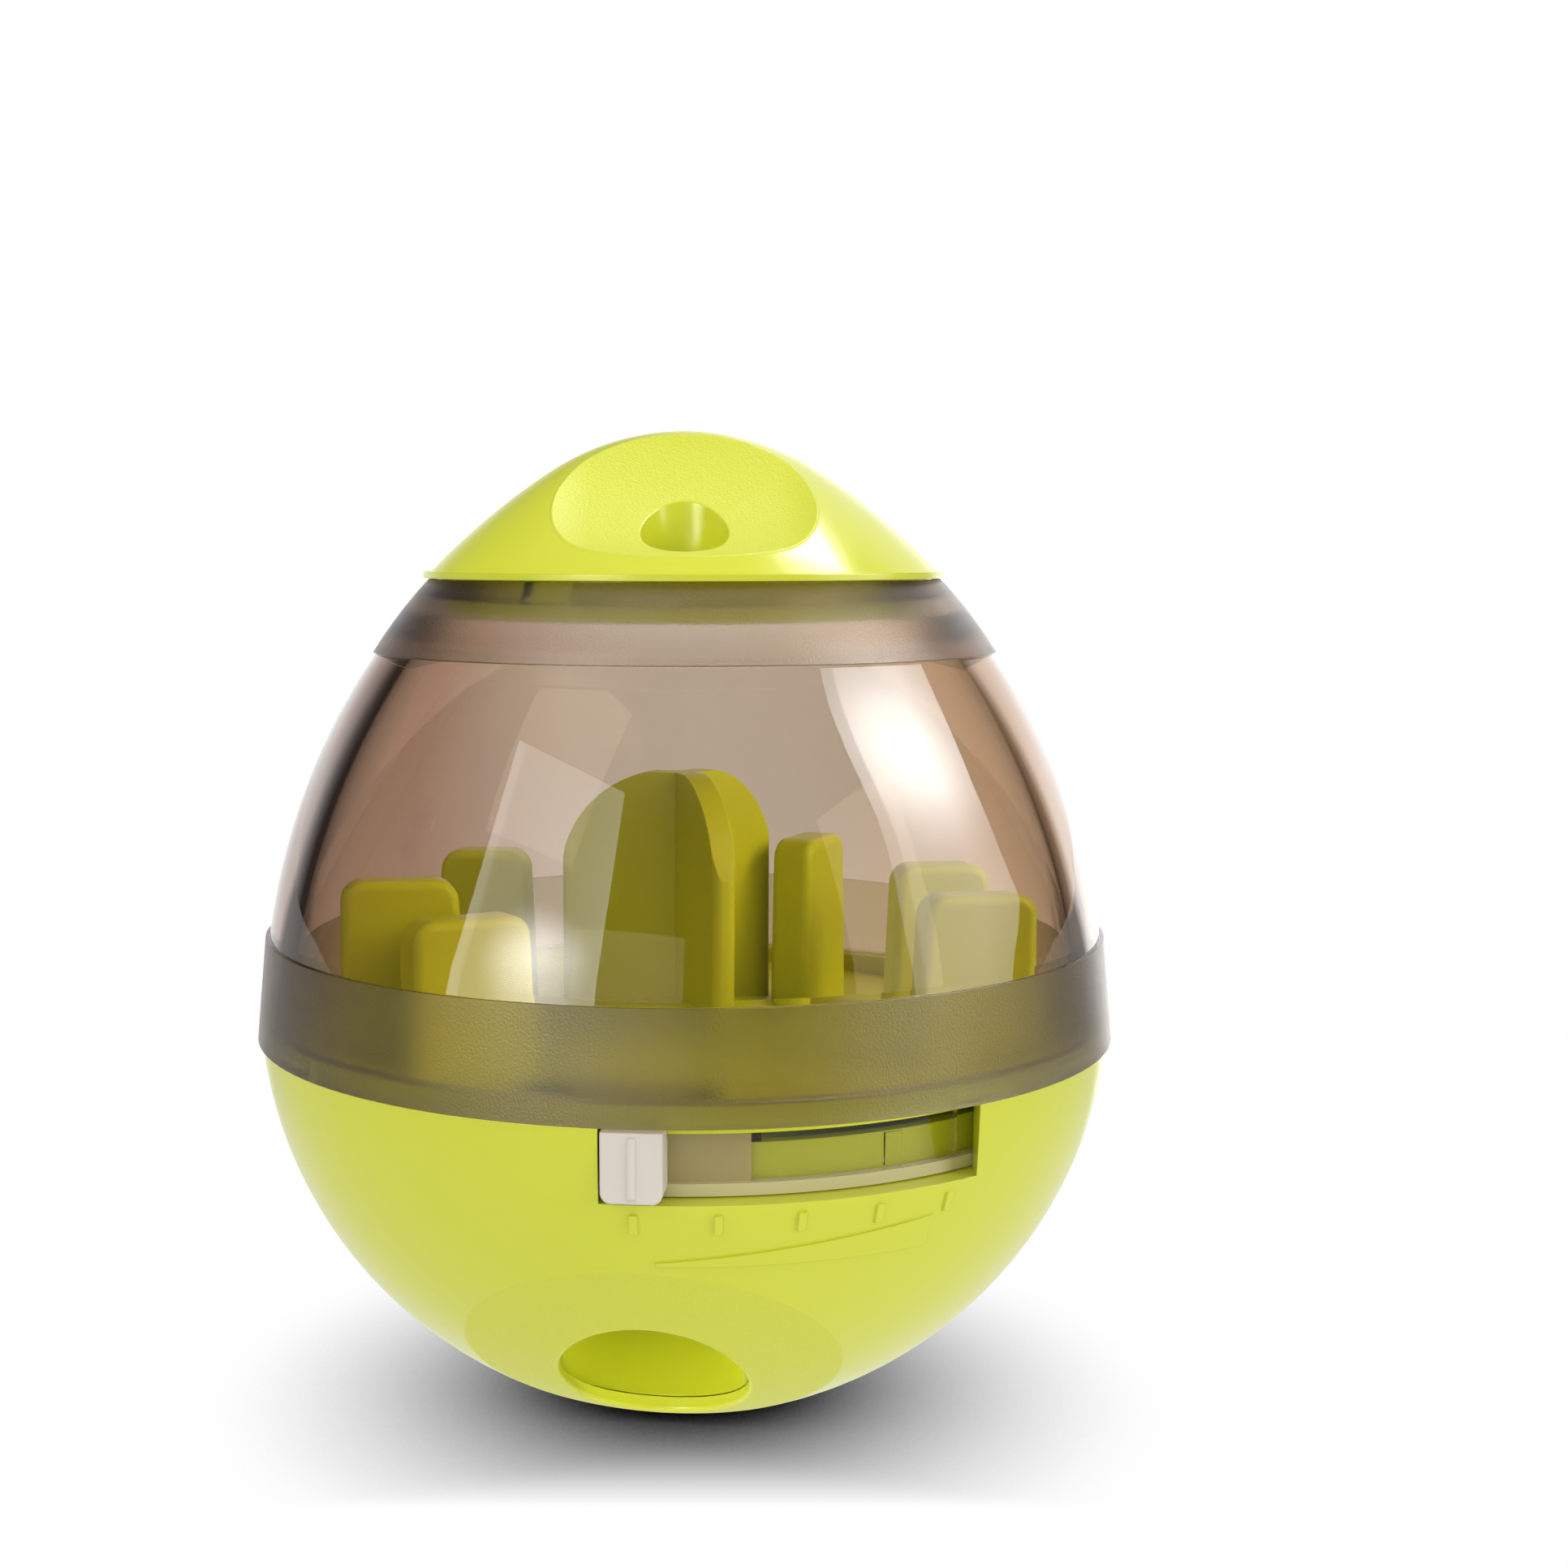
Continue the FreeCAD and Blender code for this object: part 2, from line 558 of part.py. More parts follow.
def make_adjuster_knob():
    low = LEDGE_Z + 2 * RUN_GAP
    high = RIM_Z - 2 * RUN_GAP
    depth = KNOB_FACE_R - RING_OUT_R
    block = Part.makeBox(KNOB_W, depth * 2, high - low, V(-KNOB_W / 2, -KNOB_FACE_R, low))
    bottom = [e for e in block.Edges if e.BoundBox.YLength > depth and e.BoundBox.ZMax < high - PROBE]
    block = block.makeFillet(KNOB_CORNER_R, bottom)
    rib_y = -KNOB_FACE_R + KNOB_RIB_W / 2 - KNOB_RIB_PROUD
    rib = Part.makeCylinder(KNOB_RIB_W / 2, high - low - KNOB_RIB_W, V(0, rib_y, low + KNOB_RIB_W / 2))
    nib = Part.makeCone(0, KNOB_NIB_R, KNOB_NIB_H, V(0, -KNOB_FACE_R + KNOB_NIB_INSET, low - KNOB_NIB_H / 2))
    block = block.fuse(rib).fuse(nib)
    block = block.cut(disc(RING_OUT_R + PRESS_GAP, low - OVER, high + OVER))
    block = block.cut(disc(RING_LIP_R + PRESS_GAP, low - OVER, RING_LOW_Z + RING_LIP_H + PRESS_GAP))
    # Clear of the maze disc's edge
    block = block.cut(disc(FLOOR_R + RUN_GAP, SHUTTER_TOP_Z, high + OVER))
    peg_start = V(0, -RING_OUT_R - RING_LIP_W, knob_mid_z())
    peg = Part.makeCylinder(KNOB_PEG_R, RING_WALL + RING_LIP_W, peg_start, V(0, 1, 0))
    block = block.fuse(peg)
    block.rotate(ORIGIN, UP, KNOB_BEARING)
    return block.removeSplitter()


def blade(heading):
    """One upright blade of the tower, with a rounded top."""
    rise = TOWER_TOP_Z - TOWER_SHOULDER_Z
    low = FLOOR_LOW_Z
    turn = math.radians(TOWER_ROUND)
    mid = (BLADE_LEN * math.sin(turn), TOWER_SHOULDER_Z + rise * math.cos(turn))
    edges = [
        line((0, low), (BLADE_LEN, low)),
        line((BLADE_LEN, low), (BLADE_LEN, TOWER_SHOULDER_Z)),
        arc((BLADE_LEN, TOWER_SHOULDER_Z), mid, (0, TOWER_TOP_Z)),
        line((0, TOWER_TOP_Z), (0, low)),
    ]
    plate = Part.Face(Part.Wire(edges)).extrude(V(0, BLADE_T, 0))
    plate.translate(V(0, -BLADE_T / 2, 0))
    tip = [e for e in plate.Edges if e.BoundBox.XMin > BLADE_LEN - PROBE and e.BoundBox.ZLength > BLADE_T]
    plate = plate.makeFillet(BLADE_EDGE_R, tip)
    plate.rotate(ORIGIN, UP, heading)
    return plate


# Posts of the maze: distance in from the floor's edge, bearing, width, height, heading of the broad side
POSTS = (
    (10.8, -63.2, 12.0, 19.6, 14.0),
    (18.55, -114.6, 10.6, 19.6, -10.0),
    (13.6, -46.5, 13.0, 16.5, 30.0),
    (27.2, 123.2, 11.5, 21.2, 64.0),
    (15.75, 86.5, 10.9, 19.6, 10.0),
    (9.1, 58.5, 11.5, 18.5, 8.0),
    (15.4, -164.6, 10.6, 19.6, 15.0),
)


def post(inset, bearing, width, height, heading):
    """A thick upright tab with drafted ends and rounded corners."""
    low = FLOOR_EDGE_Z - FLOOR_T
    top = FLOOR_EDGE_Z + height
    half_top = width / 2
    half_low = half_top + (top - low) * math.tan(math.radians(POST_DRAFT))
    y = -POST_T / 2
    corners = [V(-half_low, y, low), V(half_low, y, low), V(half_top, y, top), V(-half_top, y, top)]
    tab = Part.Face(Part.makePolygon(corners + corners[:1])).extrude(V(0, POST_T, 0))
    across = [e for e in tab.Edges if e.BoundBox.ZMin > top - PROBE and e.BoundBox.YLength > POST_T / 2]
    tab = tab.makeFillet(POST_CORNER_R, across)
    sides = [e for e in tab.Edges if e.BoundBox.YLength < PROBE and e.BoundBox.ZMax > low + PROBE]
    tab = tab.makeFillet(POST_EDGE_R, sides)
    tab.rotate(ORIGIN, UP, heading)
    tab.translate(polar(FLOOR_R - inset, bearing, 0))
    return tab


def floor_wall():
    """The disc's turned wall: flat outside, a cone inside, with an upturned edge."""
    return turned([
        line((0, FLOOR_LOW_Z + CONE_H), (CONE_R, FLOOR_LOW_Z)),
        line((CONE_R, FLOOR_LOW_Z), (FLOOR_R, FLOOR_LOW_Z)),
        line((FLOOR_R, FLOOR_LOW_Z), (FLOOR_R, SPIGOT_Z)),
        line((FLOOR_R, SPIGOT_Z), (FLOOR_IN_R, SPIGOT_Z)),
        line((FLOOR_IN_R, SPIGOT_Z), (FLOOR_IN_R, FLOOR_EDGE_Z)),
        line((FLOOR_IN_R, FLOOR_EDGE_Z), (CONE_R, FLOOR_EDGE_Z)),
        line((CONE_R, FLOOR_EDGE_Z), (0, FLOOR_EDGE_Z + CONE_H)),
        line((0, FLOOR_EDGE_Z + CONE_H), (0, FLOOR_LOW_Z + CONE_H)),
    ])


def room_over_floor():
    """Where posts and blades may stand: from the middle of the floor's wall up."""
    low = FLOOR_EDGE_Z - FLOOR_T / 2
    return turned([
        line((0, low + CONE_H), (CONE_R, low)),
        line((CONE_R, low), (FLOOR_IN_R, low)),
        line((FLOOR_IN_R, low), (FLOOR_IN_R, TOWER_TOP_Z)),
        line((FLOOR_IN_R, TOWER_TOP_Z), (0, TOWER_TOP_Z)),
        line((0, TOWER_TOP_Z), (0, low + CONE_H)),
    ])


def make_maze_disc():
    body = floor_wall()
    room = room_over_floor()
    for heading in BLADE_HEADINGS:
        body = body.fuse(blade(heading).common(room))
    for sizes in POSTS:
        body = body.fuse(post(*sizes).common(room))
    boss_foot = V(CORE_BOSS_X, CORE_BOSS_Y, FLOOR_EDGE_Z)
    boss_top = boss_foot + V(0, 0, CORE_BOSS_H)
    body = body.fuse(Part.makeCylinder(CORE_BOSS_R, CORE_BOSS_H, boss_foot).common(room))
    body = body.cut(Part.makeCylinder(CORE_BORE_R, CORE_BORE_DEPTH, boss_top, V(0, 0, -1)))
    outlet = sector(OUTLET_OUT_R, OUTLET_IN_R, OUTLET_FROM, OUTLET_TO, FLOOR_LOW_Z - OVER, SPIGOT_Z + OVER)
    corner = [e for e in outlet.Edges if e.BoundBox.ZLength > FLOOR_T and e.BoundBox.XLength < PROBE]
    outlet = outlet.makeFillet(OUTLET_CORNER_R, corner)
    body = body.cut(outlet)
    for bearing in PILLAR_BEARINGS:
        foot = polar(PILLAR_RING_R, bearing, FLOOR_LOW_Z - OVER)
        hole = Part.makeCylinder(SCREW_R + PIN_GAP, FLOOR_T + 2 * OVER, foot)
        seat = Part.makeCylinder(SCREW_HEAD_R + HEAD_SPARE, OVER, polar(PILLAR_RING_R, bearing, maze_seat_z()))
        body = body.cut(hole).cut(seat)
    return body.removeSplitter()


def maze_seat_z():
    """Where the heads of the maze's screws sit: in a shallow recess of the floor."""
    return FLOOR_EDGE_Z - SEAT_DEPTH


def make_maze_screws():
    return Part.makeCompound([screw(polar(PILLAR_RING_R, b, maze_seat_z()), SCREW_LEN) for b in PILLAR_BEARINGS])


def make_dome():
    band_low = (BAND_LOW_R, DOME_LOW_Z)
    band_top = (BAND_TOP_R, BAND_TOP_Z)
    win_low = (BAND_TOP_R - BAND_STEP, BAND_TOP_Z)
    win_top = (WINDOW_TOP_R, WINDOW_TOP_Z)
    upper_low = (WINDOW_TOP_R + SHOULDER_STEP, WINDOW_TOP_Z)
    upper_top = (COLLAR_TOP_R, SEAM_Z)
    neck_low_z = SEAM_Z - NECK_H
    in_low = (win_low[0] - DOME_WALL, SOCKET_TOP_Z)
    in_band = (win_low[0] - DOME_WALL, BAND_TOP_Z)
    in_top = (WINDOW_TOP_R - DOME_WALL, WINDOW_TOP_Z)
    slope = math.atan2(upper_low[0] - upper_top[0], UPPER_H)
    in_neck = (COLLAR_TOP_R + NECK_H * math.tan(slope) - DOME_WALL / math.cos(slope), neck_low_z)
    edges = [
        line((SOCKET_R, DOME_LOW_Z), band_low),
        line(band_low, band_top),
        line(band_top, win_low),
        arc(win_low, bulged(win_low, win_top, WINDOW_BULGE), win_top),
        line(win_top, upper_low),
        arc(upper_low, bulged(upper_low, upper_top, UPPER_BULGE), upper_top),
        line(upper_top, (NECK_R, SEAM_Z)),
        line((NECK_R, SEAM_Z), (NECK_R, neck_low_z)),
        line((NECK_R, neck_low_z), in_neck),
        line(in_neck, in_top),
        arc(in_top, bulged(in_band, in_top, WINDOW_BULGE), in_band),
        line(in_band, in_low),
        line(in_low, (SOCKET_R, SOCKET_TOP_Z)),
        line((SOCKET_R, SOCKET_TOP_Z), (SOCKET_R, DOME_LOW_Z)),
    ]
    body = turned(edges)
    # Grooves of the lower bayonet: each has a way in from below
    groove_r = SPIGOT_R + LUG_PROUD + RUN_GAP
    low = RIM_Z + LUG_RISE - LIFT_GAP
    high = RIM_Z + LUG_RISE + LUG_H + LIFT_GAP
    for i in range(LUG_COUNT):
        at = i * 360 / LUG_COUNT + LUG_PHASE
        start = at - LUG_W / 2 - DOME_TWIST - GROOVE_SPARE
        end = at + LUG_W / 2 + GROOVE_SPARE
        groove = sector(groove_r, SPIGOT_R, start, end, low, high)
        entry = sector(groove_r, SPIGOT_R, start, start + LUG_W + 2 * GROOVE_SPARE, DOME_LOW_Z - OVER, high)
        body = body.cut(groove.fuse(entry))
    # Notches in the neck for the cap's lugs
    for i in range(LUG_COUNT):
        at = i * 360 / LUG_COUNT + LUG_PHASE + CAP_TWIST
        half = LUG_W / 2 + GROOVE_SPARE
        notch = sector(NECK_R + CAP_LUG_PROUD, NECK_R - OVER, at - half, at + half, neck_low_z - OVER, SEAM_Z + OVER)
        body = body.cut(notch)
    return body.removeSplitter()


def cap_skin(inset):
    """The cap's rounded top, moved in by inset: a ball's tip on a flaring arc."""
    tip_r = CAP_TIP_R - inset
    centre_z = CAP_TOP_Z - CAP_TIP_R
    turn = math.asin(CAP_TIP_EDGE / CAP_TIP_R)
    knee = (tip_r * math.sin(turn), centre_z + tip_r * math.cos(turn))
    crown = (tip_r * math.sin(turn / 2), centre_z + tip_r * math.cos(turn / 2))
    low = (CAP_EDGE_R, CAP_LOW_Z + CAP_FLANGE_T)
    if inset:
        low = (CAP_EDGE_R - inset - CAP_SKIRT_SPARE, CAP_LOW_Z)
    chord = math.atan2(knee[1] - low[1], low[0] - knee[0])
    span = math.hypot(knee[1] - low[1], low[0] - knee[0])
    flank = bulged(low, knee, span / 2 * math.tan((chord - turn) / 2))
    top = (0, CAP_TOP_Z - inset)
    skin = turned([
        arc(low, flank, knee),
        arc(knee, crown, top),
        line(top, (0, low[1])),
        line((0, low[1]), low),
    ])
    skin.rotate(ORIGIN, UP, 90)
    return skin


def scoop(side, grow):
    """The finger hollow: a barrel lying along X, grown for the wall behind it."""
    radius = SCOOP_RADIUS + grow
    # The middle is one gentle arc, which runs smoothly into a tight arc at each end
    turn = 2 * math.atan(SCOOP_MID_SAG / SCOOP_MID)
    shoulder = V(SCOOP_MID, radius - SCOOP_MID_SAG, 0)
    end_r = SCOOP_END_R + grow
    centre = shoulder - V(math.sin(turn), math.cos(turn), 0) * end_r
    half = (turn + math.pi / 2) / 2
    round_mid = centre + V(math.sin(half), math.cos(half), 0) * end_r
    tip = centre + V(end_r, 0, 0)
    foot = V(tip.x, 0, 0)

    def mirrored(point):
        return V(-point.x, point.y, 0)

    outline = [
        Part.Arc(mirrored(shoulder), V(0, radius, 0), shoulder).toShape(),
        Part.Arc(shoulder, round_mid, tip).toShape(),
        Part.makeLine(tip, foot),
        Part.makeLine(foot, mirrored(foot)),
        Part.makeLine(mirrored(foot), mirrored(tip)),
        Part.Arc(mirrored(tip), mirrored(round_mid), mirrored(shoulder)).toShape(),
    ]
    barrel = Part.Face(Part.Wire(outline)).revolve(ORIGIN, V(1, 0, 0), 360)
    barrel.translate(V(0, side * SCOOP_Y, CAP_TOP_Z + SCOOP_RISE))
    return barrel


def well(side, grow):
    """The small upright well at the bottom of a scoop."""
    low = CAP_LOW_Z + WELL_FLOOR - grow
    oval = Part.Ellipse(ORIGIN, WELL_HALF_L + grow, WELL_HALF_W + grow).toShape()
    shape = Part.Face(Part.Wire([oval])).extrude(V(0, 0, CAP_H))
    shape.rotate(ORIGIN, UP, 90)
    shape.translate(V(0, side * WELL_Y, low))
    return shape


def make_top_cap():
    body = cap_skin(0).fuse(disc(CAP_FLANGE_R, CAP_LOW_Z, CAP_LOW_Z + CAP_FLANGE_T))
    hollow = cap_skin(CAP_WALL)
    for side in (-1, 1):
        hollow = hollow.cut(scoop(side, CAP_WALL))
        hollow = hollow.cut(well(side, WELL_WALL))
        post_hole = Part.makeCylinder(BOSS_R, CAP_H, V(side * CAP_SCREW_X, 0, CAP_LOW_Z))
        hollow = hollow.cut(post_hole)
    body = body.cut(hollow)
    for side in (-1, 1):
        body = body.cut(scoop(side, 0)).cut(well(side, 0))
        hole = Part.makeCylinder(SCREW_R, SCREW_LEN - LINER_T, V(side * CAP_SCREW_X, 0, CAP_LOW_Z))
        body = body.cut(hole)
    return body.removeSplitter()


def make_cap_liner():
    skirt_r = NECK_R - 2 * RUN_GAP
    low = CAP_LOW_Z - LINER_SKIRT_H
    plate = disc(skirt_r, CAP_LOW_Z - LINER_T, CAP_LOW_Z)
    skirt = tube(skirt_r, skirt_r - LINER_SKIRT_T, low, CAP_LOW_Z)
    body = plate.fuse(skirt)
    lug_top = SEAM_Z - NECK_H - 2 * LIFT_GAP
    body = body.fuse(lugs(skirt_r, CAP_LUG_PROUD + RUN_GAP, LUG_W, lug_top - CAP_LUG_H, lug_top))
    for side in (-1, 1):
        hole = Part.makeCylinder(SCREW_R + PIN_GAP, CAP_H, V(side * CAP_SCREW_X, 0, low))
        body = body.cut(hole)
    return body.removeSplitter()


def make_cap_screws():
    shapes = []
    for side in (-1, 1):
        part = screw(ORIGIN, SCREW_LEN - BLIND_SPARE)
        part.rotate(ORIGIN, V(1, 0, 0), 180)
        part.translate(V(side * CAP_SCREW_X, 0, CAP_LOW_Z - LINER_T))
        shapes.append(part)
    return Part.makeCompound(shapes)


PIECES = {
    "base_shell": make_base_shell,
    "counterweight": make_counterweight,
    "weight_screw": make_weight_screw,
    "treat_chute": make_treat_chute,
    "deck_screws": make_deck_screws,
    "adjuster_ring": make_adjuster_ring,
    "adjuster_knob": make_adjuster_knob,
    "maze_disc": make_maze_disc,
    "maze_screws": make_maze_screws,
    "dome": make_dome,
    "top_cap": make_top_cap,
    "cap_liner": make_cap_liner,
    "cap_screws": make_cap_screws,
}

for name, make in PIECES.items():
    shape = make()
    shape.exportStep("parts/" + name + ".step")
    box = shape.BoundBox
    print(name, "solids", len(shape.Solids), "valid", shape.isValid(), "volume %.0f" % shape.Volume,
          "x %.1f %.1f y %.1f %.1f z %.2f %.2f" % (box.XMin, box.XMax, box.YMin, box.YMax, box.ZMin, box.ZMax))
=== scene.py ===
"""Looks of the wobble treat dispenser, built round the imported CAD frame.

The CAD frame has +Z up, and the front faces -Y. Values named *_MM are in millimetres and *_PX in pixels of
the photograph; other lengths are in metres, and angles in degrees.
"""

import json
import math

import bpy
from mathutils import Euler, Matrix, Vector

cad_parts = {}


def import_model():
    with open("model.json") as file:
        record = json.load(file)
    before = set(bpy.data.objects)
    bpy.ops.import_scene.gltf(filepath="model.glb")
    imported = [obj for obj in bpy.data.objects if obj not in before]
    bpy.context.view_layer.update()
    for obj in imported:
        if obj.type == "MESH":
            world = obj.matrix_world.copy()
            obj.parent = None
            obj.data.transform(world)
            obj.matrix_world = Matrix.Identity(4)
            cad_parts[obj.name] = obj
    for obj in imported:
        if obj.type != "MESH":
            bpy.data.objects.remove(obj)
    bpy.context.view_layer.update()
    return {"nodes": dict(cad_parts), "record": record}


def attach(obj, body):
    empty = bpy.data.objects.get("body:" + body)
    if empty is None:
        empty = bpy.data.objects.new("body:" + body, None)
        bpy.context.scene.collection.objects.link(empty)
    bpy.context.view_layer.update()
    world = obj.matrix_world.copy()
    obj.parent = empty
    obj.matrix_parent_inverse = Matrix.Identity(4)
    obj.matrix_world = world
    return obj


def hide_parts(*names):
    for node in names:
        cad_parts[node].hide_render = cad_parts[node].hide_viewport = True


MM = 0.001

# Camera that matches the photograph
FRAME_PX = 1932
FOCAL_PX = 2703.0
AXIS_PX = (843.5, 1134.5)
CAMERA_DISTANCE = 0.25567
CAMERA_HEIGHT = 0.10088
CAMERA_PITCH = 9.713
SENSOR_MM = 36.0

# Sizes of the base, as in the part's source
BALL_R_MM = 49.6
FOOT_R_MM = 7.0
RIM_DROP_MM = 4.2
SPIGOT_H_MM = 2.0
SLOT_H_MM = 8.0
LIFT_GAP_MM = 0.15
MOUTH_BEARING = -6.5
MOUTH_ELEVATION = -52.0
MOUTH_HALF_W_MM = 10.3
MOUTH_HALF_H_MM = 14.0
DISH_ELEVATION = -48.3
DISH_R_MM = 20.6
RING_LIP_H_MM = 1.3

# Sizes of the dome and the cap
BAND_PROUD_MM = 0.48
BAND_TAPER_MM = 1.2
BAND_H_MM = 11.9
BAND_STEP_MM = 0.45
WINDOW_H_MM = 32.15
WINDOW_TOP_R_MM = 35.35
WINDOW_BULGE_MM = 2.0
UPPER_H_MM = 8.15
COLLAR_TOP_R_MM = 29.3
DOME_WALL_MM = 2.2
CAP_H_MM = 16.6
SCOOP_Y_MM = 29.4
SCOOP_RISE_MM = 13.6
SCOOP_R_MM = 27.6
SCOOP_MID_MM = 10.2
SCOOP_MID_SAG_MM = 0.35
SCOOP_END_R_MM = 10.9
WELL_Y_MM = 18.2
WELL_HALF_X_MM = 4.7
WELL_HALF_Y_MM = 5.8

# Heights and radii that follow from them
BALL_Z_MM = math.sqrt(BALL_R_MM ** 2 - FOOT_R_MM ** 2)
RIM_Z_MM = BALL_Z_MM - RIM_DROP_MM
RIM_R_MM = math.sqrt(BALL_R_MM ** 2 - RIM_DROP_MM ** 2)
RING_LIP_TOP_Z_MM = RIM_Z_MM - SLOT_H_MM + LIFT_GAP_MM + RING_LIP_H_MM
SOCKET_TOP_Z_MM = RIM_Z_MM + SPIGOT_H_MM + 2 * LIFT_GAP_MM
BAND_TOP_Z_MM = RIM_Z_MM + BAND_H_MM
WINDOW_TOP_Z_MM = BAND_TOP_Z_MM + WINDOW_H_MM
SEAM_Z_MM = WINDOW_TOP_Z_MM + UPPER_H_MM
SCOOP_Z_MM = SEAM_Z_MM + CAP_H_MM + SCOOP_RISE_MM
BAND_TOP_R_MM = RIM_R_MM + BAND_PROUD_MM - BAND_TAPER_MM
WINDOW_LOW_R_MM = BAND_TOP_R_MM - BAND_STEP_MM

# The window's wall in the scene: thicker inside than in the CAD, and back to the CAD's wall above it
WALL_LOW_MM = 3.5
WALL_TOP_MM = 4.5
WALL_BLEND_H_MM = 3.45
LEVEL_SLACK_MM = 0.1
SKIN_DEPTH_MM = 1.0
SHARP_ANGLE = 25.0

# Where finishes meet on a surface, and how soft the change is. HOLE_EDGE is in shares of a hole's half width,
# and DISH_LEAST_OUT_MM is how far out along the dish's axis its surface lies.
SCOOP_EDGE_MM = (0.08, 0.25)
HOLE_EDGE = (1.0, 1.04)
DISH_EDGE_MM = 0.3
DISH_LEAST_OUT_MM = (30.0, 31.0)
BAND_EDGE_MM = 0.02
BAND_SKIN_MM = 0.4
JOINT_EDGE_MM = (0.1, 0.2)
RING_FROST_END = 8.6
RING_FROST_EDGE = 0.2
RING_LIP_EDGE_MM = 0.1

# Lime plastic: height of its grain and of its orange peel, and what grain adds to its roughness
GRAIN_HEIGHT = 1.8
PEEL_HEIGHT = 0.12
GRAIN_ROUGHNESS = 0.26

# Clear plastics: absorption per metre for red, green and blue, the lower band's painted shade, and roughness
SMOKE_ABSORPTION = (89.0, 122.0, 158.0)
CLEAR_ABSORPTION = (40.0, 55.0, 85.0)
# The lower band's tint is painted shade: it darkens the band all round, standing for the shade of what lies
# behind it
BAND_PAINTED_SHADE = (0.55, 0.54, 0.30)
POLISHED_ROUGHNESS = 0.012
FROSTED_ROUGHNESS = (0.29, 0.34)
FROST_HEIGHT = 0.4

# Left and right ends of the white behind the part, by bearing: dark to full on the left, full to dark on the
# right. SEEN is the floor and BENT the wall, both through the dome, and MIRRORED is what glossy skins show.
SEEN_ENDS = ((-35.0, -30.0), (29.0, 34.0))
BENT_ENDS = ((-38.0, -18.0), (32.0, 46.0))
MIRRORED_ENDS = ((-50.0, -38.0), (42.0, 48.0))

# Glow of the studio, where 1 is white, and z is a direction's height. Mirrored glows are pairs, for the left
# and the right, which meet across SIDE_REACH on either side of the middle.
BENT_GLOW = 1.2
MIRRORED_GLOW = (1.2, 1.8)
MIRRORED_HIGH_SHARE = (0.12, 0.6)
MIRRORED_HIGH_Z = (0.08, 0.35)
CEILING_GLOW = 0.45
CEILING_Z = (0.55, 0.85)
STUDIO_DARK = 0.06
MATT_GLOW = (0.45, 0.62)
MATT_Z = (-0.2, 0.9)
SIDE_REACH = 0.1

# Tints of the white seen through the dome, and the bearings over which each comes in
ROSY_TINT = (0.78, 0.60, 0.56)
ROSY_SPAN = (-14.0, -5.0)
WARM_TINT = (1.25, 1.05, 0.84)
WARM_SPAN = (8.0, 17.0)

# The floor: its shade, black and then white at two shares of open sky and gone in front, and how bright the
# dome shows it
FLOOR_REACH = 6.0
SHADE_REACH = 0.09
SHADE_SKY = (0.095, 0.69)
SHADE_FRONT_Y = (-0.036, -0.018)
NEAR_FLOOR = (0.10, 0.20)
FLOOR_FAR_DARK = 0.10
FLOOR_GLOW = (1.1, 2.4)
FLOOR_MIRRORED_LEAST = 0.6
FLOOR_MIRRORED_NEAR = 0.9

# Lamps: place, the point that each faces, its size and its power in watts
LAMPS = {
    "key": ((-0.55, -0.45, 0.75), (0, 0, 0.06), (0.5, 0.5), 2.4),
    "fill": ((0.7, -0.40, 0.30), (0, 0, 0.06), (0.4, 0.6), 2.6),
    "top": ((0.0, 0.15, 0.9), (0, 0, 0.05), (0.6, 0.6), 2.2),
    "front": ((-0.25, -0.9, 0.2), (0, 0, 0.04), (0.5, 0.4), 1.6),
    "mouth_glow": ((-0.0055, -0.029, 0.0125), (0.001, -0.014, 0.024), (0.008, 0.008), 0.0022),
    "inner_right": ((0.7, -0.12, 0.36), (0, 0, 0.06), (0.3, 0.4), 7.5),
    "inner_front": ((0.4, -0.62, 0.35), (0, 0, 0.06), (0.4, 0.4), 1.8),
    "cap_gleam": ((0.38, 0.30, 0.88), (0, 0, 0.1), (0.25, 0.25), 4.0),
}

# Outlines of the bright shapes that studio cards make in the window: left x, right x, left y, right y
CARD_RIGHT_PX = (
    (1010, 1134, 822, 817),
    (1018, 1152, 860, 858),
    (1034, 1180, 905, 920),
    (1054, 1198, 950, 965),
    (1080, 1214, 1005, 1002),
    (1099, 1238, 1063, 1063),
    (1109, 1260, 1120, 1115),
    (1128, 1246, 1215, 1197),
)
CARD_LEFT_PX = (
    (640, 770, 912, 977),
    (547, 730, 1222, 1243),
)
CARD_DISTANCE = 0.5
CARD_STEPS = 12
STRIP_EDGE = 0.03
FADE_FROM = 0.7


